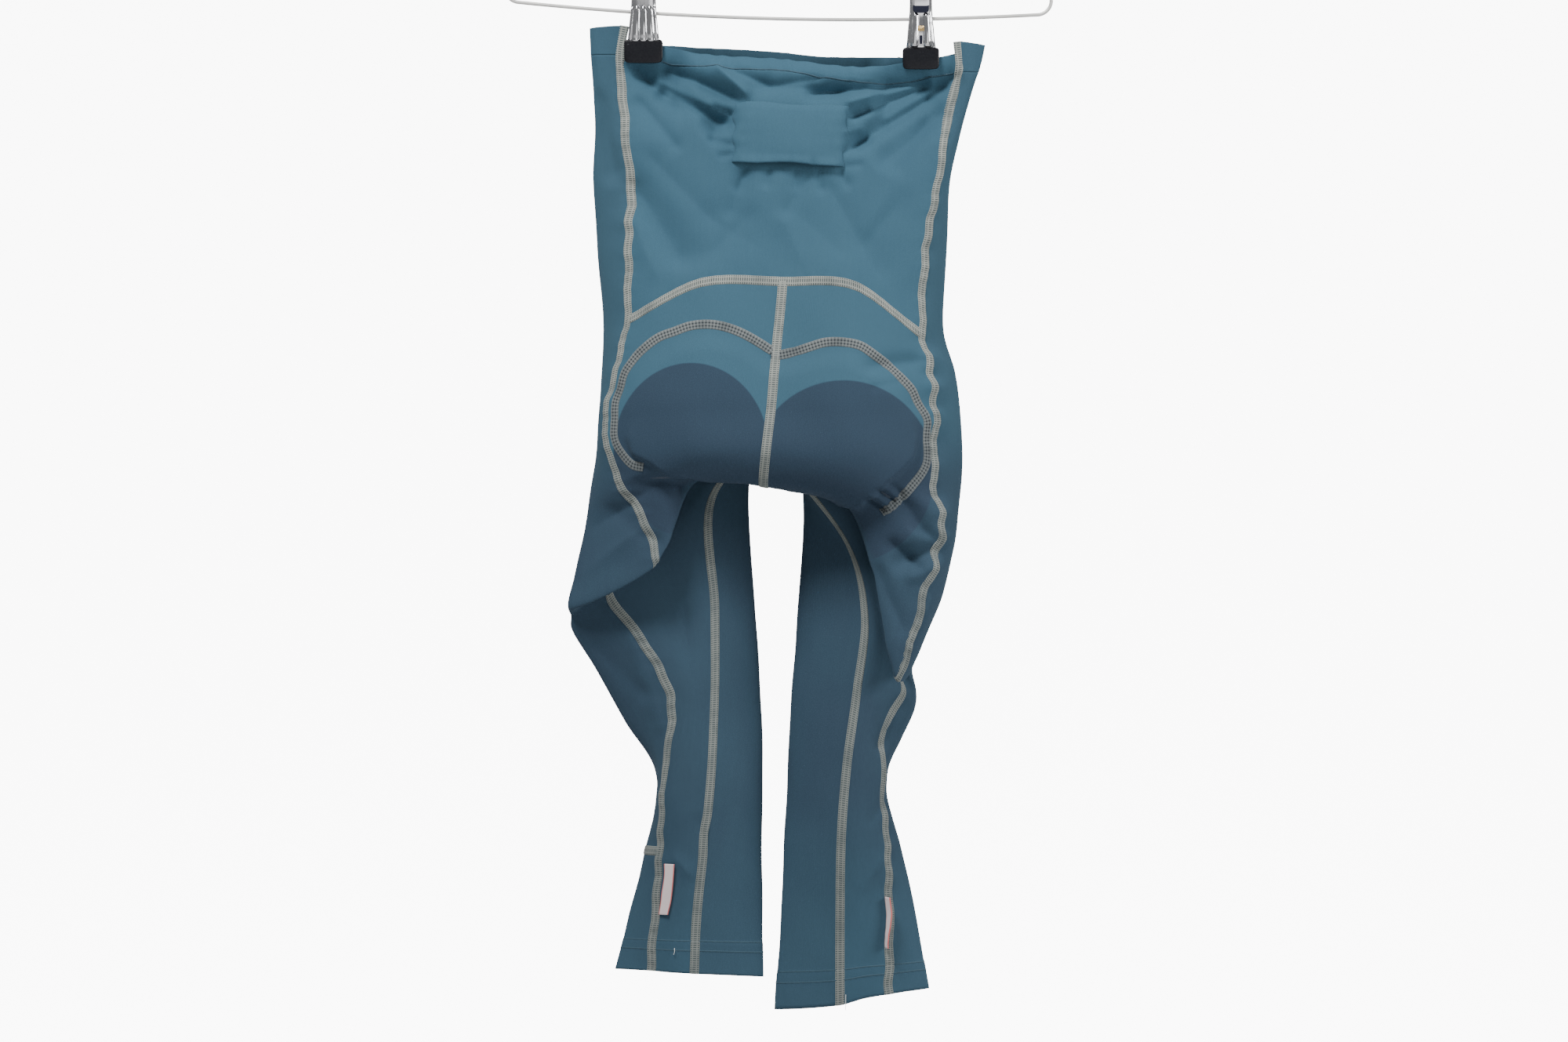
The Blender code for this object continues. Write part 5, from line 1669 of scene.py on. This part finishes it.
@dataclass
class ClipParts:
    """One clip: two pressed chrome plates, vinyl tips, a sleeve on the bar, and a spring if it is slotted.

    An opening is a dark inlay of painted shade: (name, drop below the bar, half width, half height), in
    millimetres as all sizes here.
    """

    clip: Clip
    style: ClipStyle
    hanger: Hanger
    finishes: Finishes
    gap: float = 0.3
    tip_thick: float = 3.4
    plate_thick: float = 1.0
    sleeve_radius: float = 4.2
    sleeve_half: float = 9.0
    slot: tuple = ("slot", 14.5, 1.2, 5.0)
    window: tuple = ("window", -9.5, 6.2, 5.2)
    spring_drop: float = 7.5
    spring_turns: int = 5
    spring_long: float = 4.5
    spring_radius: float = 2.0
    spring_wire: float = 0.55

    def build(self) -> None:
        """Make the clip's pieces."""
        clip = self.clip
        place = self.hanger.turned(np.array(clip.across), self.hanger.bar_drop(clip.across))
        bar = -float(place[2]) / MM - BAR_DROP
        for face, name in ((-1, "back"), (1, "front")):
            self._tip(face, f"clip_{clip.side}_grip_{name}", 1.0 if self.style is ClipStyle.FLUTED else 0.0)
            self._plate(face, f"clip_{clip.side}_plate_{name}", bar)
        self._sleeve(bar)
        if self.style is ClipStyle.SLOTTED:
            self._spring(bar)
            # Painted shade: the slot and the window are dark inlays on the plate, not holes.
            for name, below, half_wide, half_high in (self.slot, self.window):
                self._painted_opening(name, bar + below, half_wide, half_high, self._depth_at(bar + below, bar))

    def _depth_at(self, drop: float, bar: float) -> float:
        """How far the plate's face lies from the middle at a drop, in millimetres."""
        profile = self._profile(bar, 200)
        order = np.argsort(profile[:, 1])
        return float(np.interp(drop, profile[order, 1], profile[order, 0])) + self.plate_thick

    def _painted_opening(self, name: str, drop: float, half_wide: float, half_high: float, depth: float) -> None:
        """A dark opening in the back plate, shown as a thin rounded inlay of painted shade on its face, with
        no hole cut.
        """
        a = np.linspace(0, 2 * math.pi, 65)[:-1][None, :]
        cap = np.array([0.02, 0.55, 0.9, 1.0, 1.0, 0.9, 0.55, 0.02])[:, None]
        y = -(depth + np.array([0.12, 0.12, 0.11, 0.05, -0.3, -0.5, -0.5, -0.5]))[:, None]
        x = half_wide * squared_off(np.cos(a), 0.45) * cap
        z = half_high * squared_off(np.sin(a), 0.45) * cap
        grid = np.stack(np.broadcast_arrays(self.clip.across + x, y, -BAR_DROP - drop + z), axis=-1) * MM
        self._closed(f"clip_{self.clip.side}_{name}", grid, self.finishes.shade, "dark grip")

    def _tip(self, face: int, node: str, scalloped: float) -> None:
        """A vinyl tip: a rounded box whose top edge is scalloped where the flutes enter it.

        Round it, x = half * c ** 0.28 and y = thick / 2 * s ** 0.5, with c and s the cosine and sine with
        their signs kept. Its size goes to 0 at the two ends by (1 - t ** 10) ** 0.16, which rounds the ends.
        """
        clip = self.clip
        a = np.linspace(0, 2 * math.pi, 97)[:-1][None, :]
        t = (np.sin(np.linspace(-0.5, 0.5, 41) * math.pi))[:, None]
        x, y = squared_off(np.cos(a), 0.28), squared_off(np.sin(a), 0.5)
        cap = np.clip(1 - np.abs(t) ** 10, 0, 1) ** 0.16
        half = clip.width / 2 * (1 - 0.05 * np.clip(-t, 0, 1) ** 3)
        middle = PINCHED_MM + self.gap + self.tip_thick / 2
        scallop = 0.9 * scalloped * np.abs(np.sin(x * math.pi * 2)) * smooth(0.3, 1.0, t) * (np.abs(x) < 0.98)
        bulge = 1 + 0.25 * np.exp(-(((t + 0.1) / 0.7) ** 2))
        drop = clip.drop - clip.grip_height / 2 - clip.grip_height / 2 * t + scallop
        px = clip.across + half * x * cap
        py = face * (middle + self.tip_thick / 2 * y * cap * np.where(y > 0, bulge, 1.0))
        grid = np.stack(np.broadcast_arrays(px, py, -BAR_DROP - drop), axis=-1) * MM
        self._closed(node + "_vinyl", grid, self.finishes.vinyl, "dark grip", node)

    def _closed(self, name: str, grid: Array, finish: Material, slot: str, *nodes: str) -> None:
        """A closed form from a grid that runs round on its second axis and ends in two small caps."""
        faces = ring_faces(*grid.shape[:2])
        ends = grid[0].mean(axis=0)[None], grid[-1].mean(axis=0)[None]
        points = np.concatenate([grid.reshape(-1, 3), *ends])
        settle(put(name, points, turned_out(points, faces), finish, points[:, [0, 2]]), slot, *nodes)

    def _profile(self, bar: float, count: int) -> Array:
        """The plate's side view, from its lip in the tip up to its flared end: (depth, drop, half width)."""
        clip, half = self.clip, self.clip.width / 2
        lip = PINCHED_MM + self.gap + self.tip_thick / 2 - 0.2
        top = clip.drop - clip.grip_height
        rows = np.array([
            (lip, top + 7, half - 3.2),
            (lip + 0.2, top, half - 2.8),
            (lip + 1.6, top - 5, half - 3.4),
            (self.sleeve_radius + 1.6, bar + 7, half - 4.2),
            (self.sleeve_radius + 0.9, bar, half - 4.9),
            (self.sleeve_radius + 1.6, bar - 7, half - 5.4),
            (self.sleeve_radius + 4.6, bar - 17, half - 5.6),
            (self.sleeve_radius + 8.5, bar - 27, half - 5.6),
        ])
        t = np.linspace(0, len(rows) - 1, count)
        k = np.clip(t.astype(int), 0, len(rows) - 2)
        slope = np.gradient(rows, axis=0)
        share = (t - k)[:, None]
        return ClothForm._hermite(rows[k], rows[k + 1], slope[k], slope[k + 1], np.array(1.0), share)

    def _plate(self, face: int, node: str, bar: float) -> None:
        """A pressed plate: the side view carried across, with ridges pressed outwards and rolled edges.

        A fluted plate is lifted by 1.3 * |cos(2 pi a)| ** 0.6 and a slotted one by two round ridges at
        |a| = 0.46 that end in domes. Both edges roll back by the eighth power of a.
        """
        profile = self._profile(bar, 90)
        a = np.linspace(-1, 1, 65)[None, :]
        run = np.gradient(profile[:, :2], axis=0)
        away = np.stack([run[:, 1], -run[:, 0]], axis=1)
        away /= np.linalg.norm(away, axis=1, keepdims=True)
        away *= np.sign(away[:, :1] + 1e-9)
        drop = profile[:, 1][:, None]
        top = self.clip.drop - self.clip.grip_height
        if self.style is ClipStyle.FLUTED:
            crown = bar - 5 + 2.5 * (1 - np.abs(np.cos(a * math.pi * 2)))
            ridge = 1.3 * np.abs(np.cos(a * math.pi * 2)) ** 0.6 * smooth(crown, crown + 2.5, drop)
            ridge = ridge * (1 - smooth(top + 1.0, top + 2.5, drop))
        else:
            round_ridge = np.sqrt(np.clip(1 - ((np.abs(a) - 0.46) / 0.26) ** 2, 0, 1))
            crown = bar - 4.5 + 2.6 * (1 - round_ridge)
            ridge = 2.2 * round_ridge * smooth(crown, crown + 1.6, drop) * (1 - smooth(top - 2.0, top, drop))
        rolled = -2.2 * np.abs(a) ** 8
        lift = ridge + rolled
        depth = profile[:, 0][:, None] + away[:, :1] * lift
        drops = drop + away[:, 1:] * lift
        x = self.clip.across + a * profile[:, 2][:, None]

        def grid(extra: float) -> Array:
            """The plate's face, moved outwards by some millimetres."""
            y = face * (depth + away[:, :1] * extra)
            return np.stack(np.broadcast_arrays(x, y, -BAR_DROP - drops - away[:, 1:] * extra), axis=-1) * MM

        piece = slab(node + "_chrome", grid(self.plate_thick), grid(0.0), self.finishes.chrome)
        settle(piece, "chrome wire", node)

    def _sleeve(self, bar: float) -> None:
        """A tube round the bar with rounded lips: a ring profile turned round the bar's line."""
        hanger, steps, turns = self.hanger, 40, 48
        bow = 2 * hanger.bar_sag * self.clip.across / (hanger.bar_width / 2) ** 2
        slope = math.tan(math.radians(hanger.tilt)) - bow
        hole = hanger.wire / 2 + 0.5
        s = np.linspace(0, 2 * math.pi, steps, endpoint=False)
        x = self.sleeve_half * squared_off(np.cos(s), 0.25)
        wall = (self.sleeve_radius - hole) / 2 * squared_off(np.sin(s), 0.4)
        r = (hole + self.sleeve_radius) / 2 + wall
        angle = np.linspace(0, 2 * math.pi, turns, endpoint=False)
        px = np.broadcast_to((self.clip.across + x)[:, None], (steps, turns))
        centre = BAR_DROP + bar + slope * x[:, None]
        points = np.stack([px, r[:, None] * np.cos(angle), r[:, None] * np.sin(angle) - centre], axis=-1) * MM
        order = np.arange(steps * turns).reshape(steps, turns)
        right, down = np.roll(order, -1, axis=1), np.roll(order, -1, axis=0)
        faces = np.stack([order, right, np.roll(right, -1, axis=0), down], axis=-1).reshape(-1, 4)
        flat = points.reshape(-1, 3)
        node = f"clip_{self.clip.side}_sleeve"
        sleeve = put(f"{node}_tube", flat, turned_out(flat, faces), self.finishes.chrome, flat[:, [0, 2]])
        settle(sleeve, "chrome wire", node)

    def _spring(self, bar: float) -> None:
        """A brass coil between the plates: a helix along X under the bar."""
        t = np.linspace(0, 1, 160)
        angle, radius = t * 2 * math.pi * self.spring_turns, self.spring_radius
        x = self.clip.across + (t - 0.5) * self.spring_long
        y = 1.2 - self._depth_at(bar + self.spring_drop, bar) + radius * np.cos(angle)
        z = -BAR_DROP - bar - self.spring_drop + radius * np.sin(angle)
        path, name = np.stack([x, y, z], axis=-1) * MM, f"clip_{self.clip.side}_spring"
        settle(tube(name, path, self.spring_wire * MM, self.finishes.spring, 8), "chrome wire")


# The studio
class Lamp(NamedTuple):
    """A soft square light: where it stands and its side in metres, and its power in watts."""

    name: str
    place: tuple
    side: float
    power: float


@dataclass
class Studio:
    """A pale floor, a bright paper behind, soft lights, and the camera."""

    distance: float = 5.0
    centre: tuple = (0.0, -0.5843)
    view_width: float = 1.2
    sensor_mm: float = 36.0
    floor: float = -2.30
    floor_half: float = 4.0
    paper_depth: float = 9.0
    paper_half: float = 2.4
    paper_top: float = 1.2
    paper_glow: float = 9.0
    surround: tuple = (0.97, 0.985, 1.0)
    surround_power: float = 0.21
    lamps: tuple = (
        Lamp("key", (-1.1, -1.6, 2.1), 0.8, 124.0),
        Lamp("fill", (0.8, -3.0, -1.1), 1.8, 12.0),
        Lamp("side", (2.3, -0.8, 0.1), 1.0, 42.0),
    )

    def build(self) -> None:
        """Make the stage, the lights and the camera."""
        self._stage()
        for lamp in self.lamps:
            self._light(lamp)
        self._world()
        self._camera()

    def _stage(self) -> None:
        """A pale floor far below, and a bright paper far behind, too narrow to light the edges."""
        paper = Plain("backdrop_paper", (0.93, 0.93, 0.93), 0.95, glow=self.paper_glow).build()
        floor = Plain("floor_paper", (0.88, 0.88, 0.88), 0.95).build()
        x, y, z, half = self.paper_half, self.paper_depth, self.floor, self.floor_half
        corners = np.array([(-x, y, z), (x, y, z), (x, y, self.paper_top), (-x, y, self.paper_top)])
        low = np.array([(-half, -half, z), (half, -half, z), (half, y, z), (-half, y, z)])
        face = np.array([(0, 1, 2, 3)])
        put("backdrop", corners, face, paper)
        put("floor", low, face, floor)

    def _light(self, lamp: Lamp) -> None:
        """Put up a lamp that points at the middle of the object."""
        made = bpy.data.lights.new(lamp.name, "AREA")
        made.size, made.energy = lamp.side, lamp.power
        light = bpy.data.objects.new(lamp.name, made)
        away = np.array(lamp.place) - (self.centre[0], 0.0, self.centre[1])
        away /= np.linalg.norm(away)
        light.location = lamp.place
        light.rotation_euler = (math.acos(away[2]), 0.0, math.atan2(away[1], away[0]) + math.pi / 2)
        bpy.context.scene.collection.objects.link(light)

    def _world(self) -> None:
        """An even pale surround."""
        world = bpy.data.worlds.new("surround")
        world.use_nodes = True
        background = world.node_tree.nodes["Background"].inputs
        background["Color"].default_value = (*self.surround, 1)
        background["Strength"].default_value = self.surround_power
        bpy.context.scene.world = world

    def _camera(self) -> None:
        """A level camera square to the hanger, far enough away for a flat view."""
        made = bpy.data.cameras.new("camera")
        made.sensor_width = self.sensor_mm
        made.lens = self.sensor_mm * self.distance / self.view_width
        made.clip_end = 60.0
        camera = bpy.data.objects.new("camera", made)
        camera.location = (self.centre[0], -self.distance, self.centre[1])
        camera.rotation_euler = (math.pi / 2, 0.0, 0.0)
        bpy.context.scene.collection.objects.link(camera)
        bpy.context.scene.camera = camera


def main() -> None:
    """Build the tights, the hanger and the studio, and report each piece."""
    logging.basicConfig(level=logging.INFO, format="%(name)s: %(message)s")
    finishes = Finishes()
    form = ClothForm()
    panels = Panels(form, finishes)
    panels.build()
    Stitching(form, finishes, panels).build()
    BackPocket(form, finishes).build()
    SeatPad(form, finishes).build()
    SideTabs(form, finishes, panels).build()
    LooseThreads(form, finishes, panels).build()
    for sewn in panels.made.values():
        sewn.declare()
    hanger = Hanger(finishes)
    hanger.build()
    for clip, style in zip(CLIPS, (ClipStyle.FLUTED, ClipStyle.SLOTTED)):
        ClipParts(clip, style, hanger, finishes).build()
    Studio().build()


if __name__ == "__main__":
    main()
